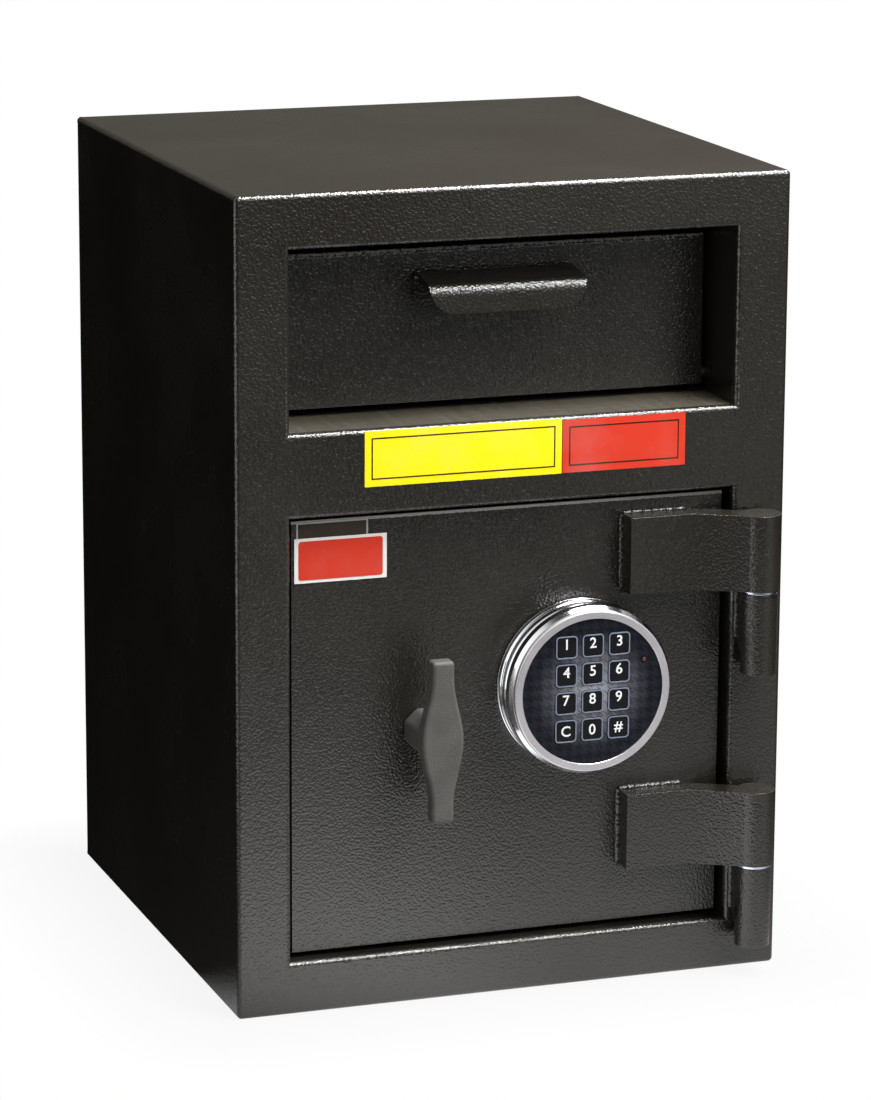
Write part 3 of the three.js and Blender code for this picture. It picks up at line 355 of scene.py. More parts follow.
# Textured powder coat: a satin dark coat with a leather-like grain and a few dust specks
def coat_material(name, grain=1.0, streaks_and_painted_light=False, highlight_node=None):
    material, graph, shader = surface(name, Metallic=0.0)
    shader.inputs["Specular IOR Level"].default_value = COAT_SPECULAR
    place = graph.place()
    cloud = graph.noise(place, COAT_CLOUD_SCALE, 3.0)
    grain_noise = graph.noise(place, COAT_GRAIN_SCALE, 0.0)
    fine = graph.noise(place, COAT_GRAIN_SCALE * COAT_FINE_RATIO, 0.0)
    specks = graph.add("TexVoronoi", {"Vector": place, "Scale": COAT_SPECK_SCALE}, feature="F1")
    close = graph.math("LESS_THAN", specks.outputs["Distance"], 0.09)
    rare = graph.math("GREATER_THAN", specks.outputs["Color"], 0.93)
    speck = graph.math("MULTIPLY", graph.math("MULTIPLY", close, rare), 0.35)
    tone = graph.ramp(cloud, 0.35, 0.7)
    base = graph.mix(graph.math("MULTIPLY", tone, 0.5), rgba(COAT_COLOR), rgba(COAT_PALE))
    graph.feed(shader.inputs["Roughness"], graph.ramp(cloud, 0.3, 0.7, *COAT_ROUGHNESS))
    height = graph.math("MULTIPLY_ADD", fine, COAT_FINE_SHARE, grain_noise)
    if streaks_and_painted_light:
        streak_noise = graph.noise(graph.place(scale=STREAK_STRETCH), 1.0, 3.0)
        height = graph.math("MULTIPLY_ADD", streak_noise, 0.5, graph.math("MULTIPLY", height, 0.25))
        # Upward faces are painted lighter in streaks: painted light on the sill; the streaks also shape the
        # bump
        level_share = graph.ramp(graph.upward(), 0.5, 0.9)
        painted_sill_light = graph.math("MULTIPLY", level_share, graph.ramp(streak_noise, 0.3, 0.7, 0.6, 1.0))
        base = graph.mix(painted_sill_light, base, graph.mix(cloud, rgba(PAINTED_SILL_LIGHT), rgba(PAINTED_SILL_LIGHT_PALE)))
    # Painted highlight along the top bend, standing in for a lamp's glint there
    if highlight_node:
        low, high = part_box(highlight_node)
        start = high.z - low.y - EDGE_HIGHLIGHT_DEPTHS[highlight_node] + EDGE_HIGHLIGHT_RAGGED / 2
        axes = graph.add("SeparateXYZ", {0: place}).outputs
        level = graph.math("SUBTRACT", axes[2], axes[1])
        ragged = graph.math("MULTIPLY_ADD", grain_noise, EDGE_HIGHLIGHT_RAGGED, level)
        edge_highlight = graph.ramp(ragged, start, start + EDGE_HIGHLIGHT_FADE)
        base = graph.mix(edge_highlight, base, rgba(EDGE_HIGHLIGHT_COLOR))
    graph.feed(shader.inputs["Base Color"], graph.mix(speck, base, rgba(COAT_SPECK_COLOR)))
    graph.feed(shader.inputs["Normal"], graph.bump(height, COAT_GRAIN_DEPTH * grain))
    return material


def metal_material(name, color, roughness, scratch=(1, 1, 1), depth=SCRATCH_DEPTH, metallic=1.0):
    material, graph, shader = surface(name, Metallic=metallic)
    wear = graph.noise(graph.place(), METAL_WEAR_SCALE, 4.0)
    lines = graph.noise(graph.place(scale=scratch), METAL_LINE_SCALE, 2.0)
    pale = tuple(min(1.0, part * 1.25) for part in color)
    graph.feed(shader.inputs["Base Color"], graph.mix(wear, rgba(color), rgba(pale)))
    low, high = roughness
    graph.feed(shader.inputs["Roughness"], graph.ramp(wear, 0.3, 0.7, low, high))
    graph.feed(shader.inputs["Normal"], graph.bump(lines, depth))
    return material


def plastic_material(name, color, roughness, grain=0.0, mottle=0.15):
    material, graph, shader = surface(name, Metallic=0.0)
    cloud = graph.noise(graph.place(), PLASTIC_CLOUD_SCALE, 3.0)
    pale = tuple(min(1.0, part * (1 + mottle) + mottle * 0.01) for part in color)
    graph.feed(shader.inputs["Base Color"], graph.mix(cloud, rgba(color), rgba(pale)))
    uneven = graph.ramp(cloud, 0.3, 0.7, roughness * 0.9, roughness * 1.1)
    graph.feed(shader.inputs["Roughness"], uneven)
    fine = graph.noise(graph.place(), PLASTIC_GRAIN_SCALE)
    graph.feed(shader.inputs["Normal"], graph.bump(fine, grain))
    return material


# Matte cast handle: a fine even speckle
def handle_material():
    material, graph, shader = surface("grey_casting", Metallic=0.15, Roughness=0.62)
    place = graph.place()
    speckle = graph.noise(place, HANDLE_SPECKLE_SCALE, 2.0)
    cloud = graph.noise(place, HANDLE_CLOUD_SCALE, 3.0)
    tone = graph.math("ADD", graph.math("MULTIPLY", speckle, 0.55), graph.math("MULTIPLY", cloud, 0.45))
    base = graph.mix(graph.ramp(tone, 0.3, 0.7), rgba(HANDLE_DARK), rgba(HANDLE_LIGHT))
    graph.feed(shader.inputs["Base Color"], base)
    graph.feed(shader.inputs["Normal"], graph.bump(speckle, HANDLE_GRAIN_DEPTH))
    return material


# Keypad face: a woven two-tone check on a blue-black ground, lighter in the middle
def face_material(centre):
    material, graph, shader = surface("keypad_face", Metallic=0.0, Roughness=0.42)
    shader.inputs["Specular IOR Level"].default_value = 0.25
    place = graph.place(shift=(-centre.x, 0.0, -centre.z))
    parts = graph.add("SeparateXYZ", {0: place})
    along = graph.math("DIVIDE", parts.outputs[0], WEAVE_PITCH)
    up = graph.math("DIVIDE", parts.outputs[2], WEAVE_PITCH)
    warp = graph.math("GREATER_THAN", graph.math("FRACT", along), 0.5)
    weft = graph.math("GREATER_THAN", graph.math("FRACT", up), 0.5)
    slope = graph.math("MULTIPLY", graph.math("ADD", along, up), 2.0)
    over = graph.math("GREATER_THAN", graph.math("FRACT", slope), 0.5)
    under = graph.math("SUBTRACT", 1.0, over)
    check = graph.math("ADD", graph.math("MULTIPLY", warp, over), graph.math("MULTIPLY", weft, under))
    distance = graph.add("VectorMath", {0: place}, operation="LENGTH")
    flat = graph.math("MULTIPLY", parts.outputs[1], parts.outputs[1])
    across = graph.math("SQRT", graph.math("SUBTRACT", graph.math(
        "MULTIPLY", distance.outputs["Value"], distance.outputs["Value"]), flat))
    glow = graph.math("POWER", graph.ramp(across, GLOW_EDGE, GLOW_MIDDLE), 1.6)
    ground = graph.mix(glow, rgba(GROUND_DARK), rgba(GROUND_LIGHT))
    thread = graph.mix(glow, rgba(THREAD_DARK), rgba(THREAD_LIGHT))
    graph.feed(shader.inputs["Base Color"], graph.mix(check, ground, thread))
    return material


def key_material():
    material, graph, shader = surface("key_plastic", Metallic=0.0, Roughness=0.22)
    shader.inputs["Specular IOR Level"].default_value = 0.3
    cloud = graph.noise(graph.place(), KEY_CLOUD_SCALE, 2.0)
    base = graph.mix(cloud, rgba(KEY_DARK), rgba(KEY_LIGHT))
    graph.feed(shader.inputs["Base Color"], base)
    graph.feed(shader.inputs["Normal"], graph.bump(cloud, KEY_GRAIN_DEPTH))
    return material


# Printed film: an even colour with faint creases and pinholes
def film_material(name, color, creases=FILM_CREASE_DEPTH):
    material, graph, shader = surface(name, Metallic=0.0, Roughness=0.5)
    shader.inputs["Specular IOR Level"].default_value = 0.2
    place = graph.place()
    cloud = graph.noise(place, FILM_CLOUD_SCALE, 3.0)
    pinholes = graph.add("TexVoronoi", {"Vector": place, "Scale": FILM_PINHOLE_SCALE}, feature="F1")
    close = graph.math("LESS_THAN", pinholes.outputs["Distance"], 0.12)
    rare = graph.math("GREATER_THAN", pinholes.outputs["Color"], 0.95)
    faded = tuple(min(1.0, part * 0.9 + 0.05) for part in color)
    base = graph.mix(graph.ramp(cloud, 0.45, 0.8), rgba(color), rgba(faded))
    pin = graph.math("MULTIPLY", graph.math("MULTIPLY", close, rare), 0.5)
    graph.feed(shader.inputs["Base Color"], graph.mix(pin, base, rgba(FILM_PINHOLE_COLOR)))
    crease = graph.noise(place, FILM_CREASE_SCALE, 1.0)
    graph.feed(shader.inputs["Normal"], graph.bump(crease, creases))
    return material


def lens_material():
    material, graph, shader = surface("led_lens", Roughness=0.15)
    shader.inputs["Coat Weight"].default_value = 0.5
    ring = graph.noise(graph.place(), LENS_CLOUD_SCALE)
    base = graph.mix(ring, rgba(LENS_DARK), rgba(LENS_LIGHT))
    graph.feed(shader.inputs["Base Color"], base)
    return material


# Chrome: clean at the sides, and darker on top as painted shade that dims the lamp's reflection there
def chrome_material():
    material, graph, shader = surface("chrome", Metallic=1.0)
    haze = graph.noise(graph.place(), CHROME_HAZE_SCALE, 4.0)
    clean = graph.mix(haze, rgba(CHROME_DARK), rgba(CHROME_LIGHT))
    # Painted shade: upward faces darker
    painted_shade_top = graph.ramp(graph.upward(), 0.2, 0.8)
    graph.feed(shader.inputs["Base Color"], graph.mix(painted_shade_top, clean, rgba(CHROME_PAINTED_SHADE)))
    graph.feed(shader.inputs["Roughness"], graph.ramp(haze, 0.3, 0.7, *CHROME_ROUGHNESS))
    return material


keypad_low, keypad_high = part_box("keypad_bezel")
keypad_centre = (keypad_low + keypad_high) / 2

COAT = coat_material("powder_coat")
COAT_INSIDE = coat_material("powder_coat_inside", grain=0.35)
COAT_DOOR = coat_material("powder_coat_door", highlight_node="door_plate")
COAT_DRAWER = coat_material("powder_coat_drawer", highlight_node="drawer_front")
COAT_THROAT = coat_material("powder_coat_throat", grain=0.3, streaks_and_painted_light=True)
SLOT_MATERIALS = {
    "powder_coat": COAT,
    "bare_steel": metal_material("bare_steel", (0.36, 0.35, 0.34), (0.28, 0.42), (1, 1, 30)),
    "zinc_plate": metal_material("zinc_plate", (0.52, 0.52, 0.50), (0.22, 0.36), (20, 1, 1)),
    "grey_casting": handle_material(),
    "zinc_casting": metal_material("zinc_casting", (0.36, 0.37, 0.38), (0.42, 0.55), depth=CASTING_DEPTH),
    "brass": metal_material("brass", (0.50, 0.36, 0.14), (0.28, 0.42), (1, 1, 20)),
    "chrome": chrome_material(),
    "satin_ring": metal_material(
        "satin_ring", (0.60, 0.575, 0.60), (0.30, 0.36), depth=SATIN_DEPTH, metallic=0.7),
    "keypad_face": face_material(keypad_centre),
    "key_plastic": key_material(),
    "circuit_board": plastic_material("circuit_board", (0.016, 0.105, 0.042), 0.4, MOULDED_GRAIN, 0.4),
    "led_lens": lens_material(),
    "battery_case": plastic_material("battery_case", (0.035, 0.040, 0.050), 0.38),
    "cable_jacket": plastic_material("cable_jacket", (0.012, 0.012, 0.012), 0.55, MOULDED_GRAIN),
}
WASHER_STEEL = metal_material("washer_steel", (0.66, 0.72, 0.82), (0.16, 0.24))
RIM_INK = plastic_material("rim_ink", (0.165, 0.190, 0.255), 0.3)
WHITE_INK = plastic_material("white_ink", (0.80, 0.81, 0.83), 0.4, mottle=0.02)
YELLOW_FILM = film_material("yellow_film", (0.92, 0.74, 0.006))
RED_FILM = film_material("red_film", (0.61, 0.038, 0.016))
WHITE_FILM = film_material("white_film", (0.78, 0.77, 0.75))
DARK_LINE = film_material("dark_line", (0.035, 0.012, 0.004), 0.0)
BADGE_FIELD = metal_material("badge_field", (0.05, 0.038, 0.026), (0.35, 0.5), (1, 1, 40), metallic=0.6)


# Mesh building
def arc(a, b, radius, start, end, steps):
    angles = [start + (end - start) * step / steps for step in range(steps + 1)]
    return [(a + radius * math.cos(angle), b + radius * math.sin(angle)) for angle in angles]


CELL_SIDES = (
    ((-1, 0, 0), ((0, 0, 0), (0, 0, 1), (0, 1, 1), (0, 1, 0))),
    ((1, 0, 0), ((1, 0, 0), (1, 1, 0), (1, 1, 1), (1, 0, 1))),
    ((0, -1, 0), ((0, 0, 0), (1, 0, 0), (1, 0, 1), (0, 0, 1))),
    ((0, 1, 0), ((0, 1, 0), (0, 1, 1), (1, 1, 1), (1, 1, 0))),
    ((0, 0, -1), ((0, 0, 0), (0, 1, 0), (1, 1, 0), (1, 0, 0))),
    ((0, 0, 1), ((0, 0, 1), (1, 0, 1), (1, 1, 1), (0, 1, 1))),
)


# The skin round the filled cells of a grid of planes
def cells(xs, ys, zs, filled):
    bm = bmesh.new()
    corners = {}
    counts = (len(xs) - 1, len(ys) - 1, len(zs) - 1)

    def corner(place):
        if place not in corners:
            i, j, k = place
            corners[place] = bm.verts.new((xs[i], ys[j], zs[k]))
        return corners[place]

    def solid(place):
        inside = all(0 <= index < count for index, count in zip(place, counts))
        return inside and filled(*place)

    for cell in itertools.product(*map(range, counts)):
        if not solid(cell):
            continue
        for step, offsets in CELL_SIDES:
            if not solid(tuple(map(sum, zip(cell, step)))):
                bm.faces.new([corner(tuple(map(sum, zip(cell, offset)))) for offset in offsets])
    return bm


def round_edges(bm, radius, segments, chosen):
    edges = [edge for edge in bm.edges if chosen(*(vertex.co for vertex in edge.verts))]
    bmesh.ops.bevel(bm, geom=edges, offset=radius, segments=segments, profile=0.5, affect="EDGES")


def near(value, *others):
    return any(abs(value - other) < MERGE * 10 for other in others)


# Where a point of an outline lies when its axis is x, y or z
OUTLINE_AXES = {
    "x": lambda a, b, along: (along, a, b),
    "y": lambda a, b, along: (a, along, b),
    "z": lambda a, b, along: (a, b, along),
}


def prism(outline, axis, start, end):
    bm = bmesh.new()
    at = OUTLINE_AXES[axis]
    rings = [[bm.verts.new(at(a, b, along)) for a, b in outline] for along in (start, end)]
    bm.faces.new(rings[0])
    bm.faces.new(list(reversed(rings[1])))
    count = len(outline)
    for index in range(count):
        following = (index + 1) % count
        bm.faces.new((rings[0][index], rings[1][index], rings[1][following], rings[0][following]))
    bmesh.ops.recalc_face_normals(bm, faces=bm.faces)
    return bm


# A closed profile of (radius, distance) turned about an axis through a centre
def lathe(profile, axis, centre, sides=ROUND_SIDES):
    bm = bmesh.new()
    rings = []
    for radius, along in profile:
        if radius < MERGE:
            rings.append([bm.verts.new(turned_point(0.0, 0.0, along, axis, centre))])
            continue
        ring = []
        for side in range(sides):
            angle = 2 * math.pi * side / sides
            ring.append(bm.verts.new(turned_point(radius, angle, along, axis, centre)))
        rings.append(ring)
    for first, second in zip(rings, rings[1:] + rings[:1]):
        if len(first) == 1 and len(second) == 1:
            continue
        for side in range(sides):
            following = (side + 1) % sides
            corners = [first[side % len(first)], second[side % len(second)],
                       second[following % len(second)], first[following % len(first)]]
            bm.faces.new(list(dict.fromkeys(corners)))
    bmesh.ops.recalc_face_normals(bm, faces=bm.faces)
    return bm


def turned_point(radius, angle, along, axis, centre):
    a, b = radius * math.cos(angle), radius * math.sin(angle)
    return Vector(centre) + Vector(OUTLINE_AXES[axis](a, b, along))


def rounded_rectangle(left, right, bottom, top, radius, steps=KEY_CORNER_STEPS):
    return [
        *arc(right - radius, bottom + radius, radius, -QUARTER_TURN, 0, steps),
        *arc(right - radius, top - radius, radius, 0, QUARTER_TURN, steps),
        *arc(left + radius, top - radius, radius, QUARTER_TURN, 2 * QUARTER_TURN, steps),
        *arc(left + radius, bottom + radius, radius, 2 * QUARTER_TURN, 3 * QUARTER_TURN, steps),
    ]


def joined(*parts):
    whole = bmesh.new()
    for part in parts:
        mesh = bpy.data.meshes.new("part")
        part.to_mesh(mesh)
        part.free()
        whole.from_mesh(mesh)
        bpy.data.meshes.remove(mesh)
    return whole


def painted(bm, index):
    for face in bm.faces:
        face.material_index = index
    return bm


def carve(bm, tools):
    objects = []
    for name, part in (("carved", bm), ("tools", joined(*tools))):
        mesh = bpy.data.meshes.new(name)
        part.to_mesh(mesh)
        part.free()
        objects.append(bpy.data.objects.new(name, mesh))
        bpy.context.scene.collection.objects.link(objects[-1])
    body, tool = objects
    boolean = body.modifiers.new("cut", "BOOLEAN")
    boolean.operation = "DIFFERENCE"
    boolean.solver = "EXACT"
    boolean.object = tool
    bpy.context.view_layer.update()
    evaluated = body.evaluated_get(bpy.context.evaluated_depsgraph_get())
    result = bmesh.new()
    result.from_mesh(evaluated.data)
    for used in objects:
        mesh = used.data
        bpy.data.objects.remove(used)
        bpy.data.meshes.remove(mesh)
    return result


def make_piece(name, bm, body, materials, nodes=(), edge=EDGE_SMALL, segments=EDGE_SEGMENTS):
    mesh = bpy.data.meshes.new(name)
    bm.to_mesh(mesh)
    bm.free()
    for material in materials:
        mesh.materials.append(material)
    mesh.polygons.foreach_set("use_smooth", [True] * len(mesh.polygons))
    mesh.set_sharp_from_angle(angle=SMOOTH_ANGLE)
    piece = bpy.data.objects.new(name, mesh)
    bpy.context.scene.collection.objects.link(piece)
    if edge:
        rounding = piece.modifiers.new("rounding", "BEVEL")
        rounding.width = edge
        rounding.segments = segments
        rounding.limit_method = "ANGLE"
        rounding.angle_limit = SMOOTH_ANGLE
        rounding.miter_outer = "MITER_ARC"
    normals = piece.modifiers.new("normals", "WEIGHTED_NORMAL")
    normals.keep_sharp = True
    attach(piece, body)
    if nodes:
        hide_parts(*nodes)
    return piece


def stand_in(node, bm, edge=EDGE_SMALL, segments=EDGE_SEGMENTS, material=None):
    slot = SLOT_OF[node]
    finish = material or SLOT_MATERIALS[slot]
    return make_piece(node + "_finished", bm, BODY_OF[node], [finish], [node], edge, segments)


# A CAD shape with its flat faces made whole and its edges rounded
def dressed(node, edge=EDGE_SMALL, segments=EDGE_SEGMENTS, material=None):
    bm = bmesh.new()
    bm.from_mesh(frame["nodes"][node].data)
    bmesh.ops.remove_doubles(bm, verts=bm.verts, dist=MERGE)
    bmesh.ops.dissolve_limit(bm, angle_limit=FLAT_ANGLE, verts=bm.verts, edges=bm.edges)
    painted(bm, 0)
    return stand_in(node, bm, edge, segments, material)


# Body
frame_low, frame_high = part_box("front_frame")
wrap_low, wrap_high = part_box("body_wrap")
baffle_low, baffle_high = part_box("anti_fish_baffle")
stop_low, stop_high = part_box("door_stop")
panel_low, panel_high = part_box("back_panel")
door_low, door_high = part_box("door_plate")
drawer_low, drawer_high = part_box("drawer_front")
WALL = panel_low.z


def front_frame():
    half, outer, side = baffle_high.x, baffle_high.x + WALL, frame_high.x
    door_bottom, door_top = door_low.z - DOOR_GAP, stop_high.z
    deposit_bottom, deposit_top = drawer_low.z - DRAWER_GAP_BELOW, baffle_high.z
    front, seam, rear = frame_low.y, wrap_low.y, frame_high.y
    xs = (-side, -outer, -half, half, outer, side)
    zs = (0.0, door_bottom - WALL, door_bottom, door_top, door_top + WALL,
          deposit_bottom, deposit_top, frame_high.z)

    def filled(i, j, k):
        opening = i == 2 and k in (2, 5)
        ring = i in (1, 2, 3) and k in (1, 2, 3)
        return not opening and (j == 0 or ring)

    bm = cells(xs, (front, seam, rear), zs, filled)

    def on_border(point):
        return near(abs(point.x), side) or near(point.z, 0.0, frame_high.z)

    def outer_edge(a, b):
        across = near(abs(a.x), side) and near(abs(b.x), side) and near(a.x, b.x)
        level = near(a.z, 0.0, frame_high.z) and near(a.z, b.z)
        at_front = near(a.y, front) and near(b.y, front)
        corner = across and level and not near(a.y, b.y)
        return corner or (at_front and (across or level))

    def opening_edge(a, b):
        if not (near(a.y, front) and near(b.y, front)) or on_border(a) or on_border(b):
            return False
        upright = near(abs(a.x), half) and near(a.x, b.x)
        level = near(a.z, b.z) and abs((a.x + b.x) / 2) < half / 2
        spans = ((door_bottom, door_top), (deposit_bottom, deposit_top))
        middle = (a.z + b.z) / 2
        beside = any(low < middle < high for low, high in spans)
        return (upright and beside) or (level and near(a.z, *spans[0], *spans[1]))

    round_edges(bm, FLARE_RADIUS, BEND_SEGMENTS, opening_edge)
    round_edges(bm, BODY_EDGE_RADIUS, BEND_SEGMENTS, outer_edge)
    stand_in("front_frame", bm, edge=None)


def body_wrap():
    side, height = wrap_high.x, wrap_high.z
    xs = (-side, WALL - side, side - WALL, side)
    zs = (0.0, WALL, height - WALL, height)
    bm = cells(xs, (wrap_low.y, wrap_high.y), zs, lambda i, j, k: i != 1 or k != 1)

    def long_edge(a, b):
        corner = near(abs(a.x), side) and near(a.z, 0.0, height)
        return corner and not near(a.y, b.y) and near(a.z, b.z)

    def rear_edge(a, b):
        border = near(abs(a.x + b.x) / 2, side) or near((a.z + b.z) / 2, 0.0, height)
        return border and near(a.y, b.y) and near(a.y, wrap_high.y)

    round_edges(bm, BODY_EDGE_RADIUS, BEND_SEGMENTS, long_edge)
    round_edges(bm, REAR_EDGE_RADIUS, EDGE_SEGMENTS, rear_edge)
    tools = []
    for x, y in itertools.product((-1, 1), (-1, 1)):
        place = (x * (side - ANCHOR_HOLE_INSET), y * (wrap_high.y - ANCHOR_HOLE_INSET), 0.0)
        radius = ANCHOR_HOLE_RADIUS
        profile = [(0.0, -WALL), (radius, -WALL), (radius, 2 * WALL), (0.0, 2 * WALL)]
        tools.append(lathe(profile, "z", place))
    stand_in("body_wrap", carve(bm, tools), edge=None)


# Deposit drawer
def drawer_front():
    low, high = drawer_low, drawer_high
    radius, inner = SHEET_BEND_RADIUS, SHEET_BEND_RADIUS - DRAWER_SHEET
    outline = [
        (low.y, low.z), (low.y + DRAWER_SHEET, low.z),
        *arc(low.y + radius, high.z - radius, inner, 2 * QUARTER_TURN, QUARTER_TURN, BEND_SEGMENTS),
        (high.y, high.z - DRAWER_SHEET), (high.y, high.z),
        *arc(low.y + radius, high.z - radius, radius, QUARTER_TURN, 2 * QUARTER_TURN, BEND_SEGMENTS),
    ]
    stand_in("drawer_front", prism(outline, "x", low.x, high.x), EDGE_PLATE, material=COAT_DRAWER)


# Half the width of a plate with rounded lower corners, at a height
def narrowed(side, bottom, radius, z):
    drop = max(0.0, bottom + radius - z)
    return side - radius + math.sqrt(max(0.0, radius * radius - drop * drop))


def drawer_pull():
    low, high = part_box("drawer_pull")
    half = PULL_SHEET / 2
    back, front = high.y - half, low.y + half
    flange = high.z - PULL_FLANGE_HEIGHT
    top = high.z - half
    rows = []
    for step in range(PULL_FLANGE_STEPS + 1):
        z = flange + (top - PULL_BACK_RADIUS + half - flange) * step / PULL_FLANGE_STEPS
        rows.append((back, z, narrowed(high.x, flange, PULL_FLANGE_RADIUS, z)))
    for a, b in arc(back - PULL_BACK_RADIUS + half, top - PULL_BACK_RADIUS + half,
                    PULL_BACK_RADIUS - half, 0, QUARTER_TURN, BEND_SEGMENTS)[1:]:
        rows.append((a, b, high.x))
    for a, b in arc(front + PULL_FRONT_RADIUS - half, top - PULL_FALL - PULL_FRONT_RADIUS + half,
                    PULL_FRONT_RADIUS - half, QUARTER_TURN, 2 * QUARTER_TURN, BEND_SEGMENTS):
        rows.append((a, b, narrowed(high.x, low.z, PULL_CORNER_RADIUS, b)))
    start = rows[-1][1]
    for step in range(1, PULL_LIP_STEPS + 1):
        share = math.sin(QUARTER_TURN * step / PULL_LIP_STEPS)
        z = start + (low.z - start) * share
        rows.append((front, z, narrowed(high.x, low.z, PULL_CORNER_RADIUS, z)))
    bm = bmesh.new()
    pairs = [(bm.verts.new((-x, y, z)), bm.verts.new((x, y, z))) for y, z, x in rows]
    for (a, b), (c, d) in zip(pairs, pairs[1:]):
        bm.faces.new((a, b, d, c))
    bmesh.ops.recalc_face_normals(bm, faces=bm.faces)
    piece = stand_in("drawer_pull", bm, EDGE_PLATE, FEW_SEGMENTS)
    sheet = piece.modifiers.new("sheet", "SOLIDIFY")
    sheet.thickness = PULL_SHEET
    sheet.offset = 0.0
    piece.modifiers.move(len(piece.modifiers) - 1, 0)


# A rippled bead along a line of points
def weld(name, points, body):
    bm = bmesh.new()
    places = []
    for start, end in zip(points, points[1:]):
        start, end = Vector(start), Vector(end)
        count = max(2, round((end - start).length / WELD_STEP))
        direction = (end - start).normalized()
        places += [(start.lerp(end, step / count), direction) for step in range(count)]
    places.append((Vector(points[-1]), places[-1][1]))
    rings = []
    travelled = 0.0
    last = places[0][0]
    for place, direction in places:
        travelled += (place - last).length
        last = place
        turn = direction.to_track_quat("Z", "Y")
        ripple = 1 + WELD_RIPPLE_SHARE * math.sin(2 * math.pi * travelled / WELD_RIPPLE_PITCH)
        wander = 1
        for share, rate in WELD_WANDERS:
            wander += share * math.sin(travelled * rate)
        radius = WELD_RADIUS * ripple * wander
        ring = []
        for side in range(WELD_SIDES):
            angle = 2 * math.pi * side / WELD_SIDES
            offset = turn @ Vector((radius * math.cos(angle), radius * math.sin(angle), 0.0))
            ring.append(bm.verts.new(place + offset))
        rings.append(ring)
    for first, second in zip(rings, rings[1:]):
        for side in range(WELD_SIDES):
            following = (side + 1) % WELD_SIDES
            bm.faces.new((first[side], first[following], second[following], second[side]))
    bm.faces.new(list(reversed(rings[0])))
    bm.faces.new(rings[-1])
    bmesh.ops.recalc_face_normals(bm, faces=bm.faces)
    make_piece(name, bm, body, [COAT], edge=None)


def hinge_welds():
    for level in ("upper", "lower"):
        low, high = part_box("hinge_arm_" + level)
        bend = high.x - ARM_WELD_REACH
        face = door_low.y
        weld("weld_arm_" + level, [
            (bend, face, high.z), (low.x, face, high.z), (low.x, face, low.z), (bend, face, low.z),
        ], "door")
        low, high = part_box("hinge_barrel_" + level)
        middle = (low.x + high.x) / 2
        foot = low.z + TANG_WELD_FOOT
        plate = frame_low.y
        for side, x in (("left", middle - TANG_WELD_LEFT), ("right", middle + TANG_WELD_RIGHT)):
            weld(f"weld_barrel_{side}_{level}", [(x, plate, foot), (x, plate, high.z)], "safe_body")


# Half the width of the handle's bar at a height above its middle
def handle_half_width(rise):
    end, middle = HANDLE_END_WIDTH / 2, HANDLE_MIDDLE_WIDTH / 2
    swell = 0.5 + 0.5 * math.cos(math.pi * min(1.0, abs(rise) / HANDLE_SWELL))
    return end + (middle - end) * swell


def t_handle():
    low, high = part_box("t_handle")
    middle = (low + high) / 2
    half = (high.z - low.z) / 2
    rises = [half - 2 * half * step / HANDLE_STEPS for step in range(HANDLE_STEPS + 1)]
    right = [(middle.x + handle_half_width(rise), middle.z + rise) for rise in reversed(rises)]
    left = [(middle.x - handle_half_width(rise), middle.z + rise) for rise in rises]
    bar = prism(right + left, "y", low.y, low.y + HANDLE_THICKNESS)
    half_side = math.pi / HANDLE_SHANK_SIDES
    reach = HANDLE_SHANK / 2 / math.cos(half_side)
    angles = [half_side * (2 * side + 1) for side in range(HANDLE_SHANK_SIDES)]
    octagon = [(middle.x + reach * math.cos(angle), middle.z + reach * math.sin(angle)) for angle in angles]
    shank = prism(octagon, "y", low.y + HANDLE_THICKNESS / 2, high.y)
    stand_in("t_handle", joined(bar, shank), HANDLE_EDGE, HANDLE_EDGE_SEGMENTS)


# Keypad
def keypad_housing():
    low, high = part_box("keypad_housing")
    centre = ((low.x + high.x) / 2, high.y, (low.z + high.z) / 2)
    outer = (high.x - low.x) / 2
    inner = KEYPAD_INNER_RADIUS
    depth = high.y - low.y
    wall = outer - inner
    profile = [(inner, 0.0)]
    for start, end, low_share, bulge_share, fall_share in KEYPAD_BAND_SHARES:
        for step in range(BAND_STEPS + 1):
            share = step / BAND_STEPS
            level = low_share + bulge_share * math.sin(math.pi * share) - fall_share * share
            profile.append((inner + wall * level, -depth * (start + (end - start) * share)))
    profile.append((inner, -depth))
    stand_in("keypad_housing", lathe(profile, "y", centre, RING_SIDES), EDGE_RIDGE, FEW_SEGMENTS)


def keypad_bezel():
    low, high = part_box("keypad_bezel")
    centre = ((low.x + high.x) / 2, 0.0, (low.z + high.z) / 2)
    outer = (high.x - low.x) / 2
    inner, radius = outer - BEZEL_WIDTH, BEZEL_EDGE_RADIUS
    rounding = arc(0.0, 0.0, radius, 0.0, QUARTER_TURN, BEND_SEGMENTS)[1:]
    profile = [(inner, high.y), (outer, high.y), (outer, low.y + radius)]
    profile += [(outer - radius + a, low.y + radius - b) for a, b in rounding]
    profile += [(inner + BEZEL_INNER_EDGE, low.y), (inner, low.y + BEZEL_INNER_EDGE)]
    stand_in("keypad_bezel", lathe(profile, "y", centre, RING_SIDES), None)


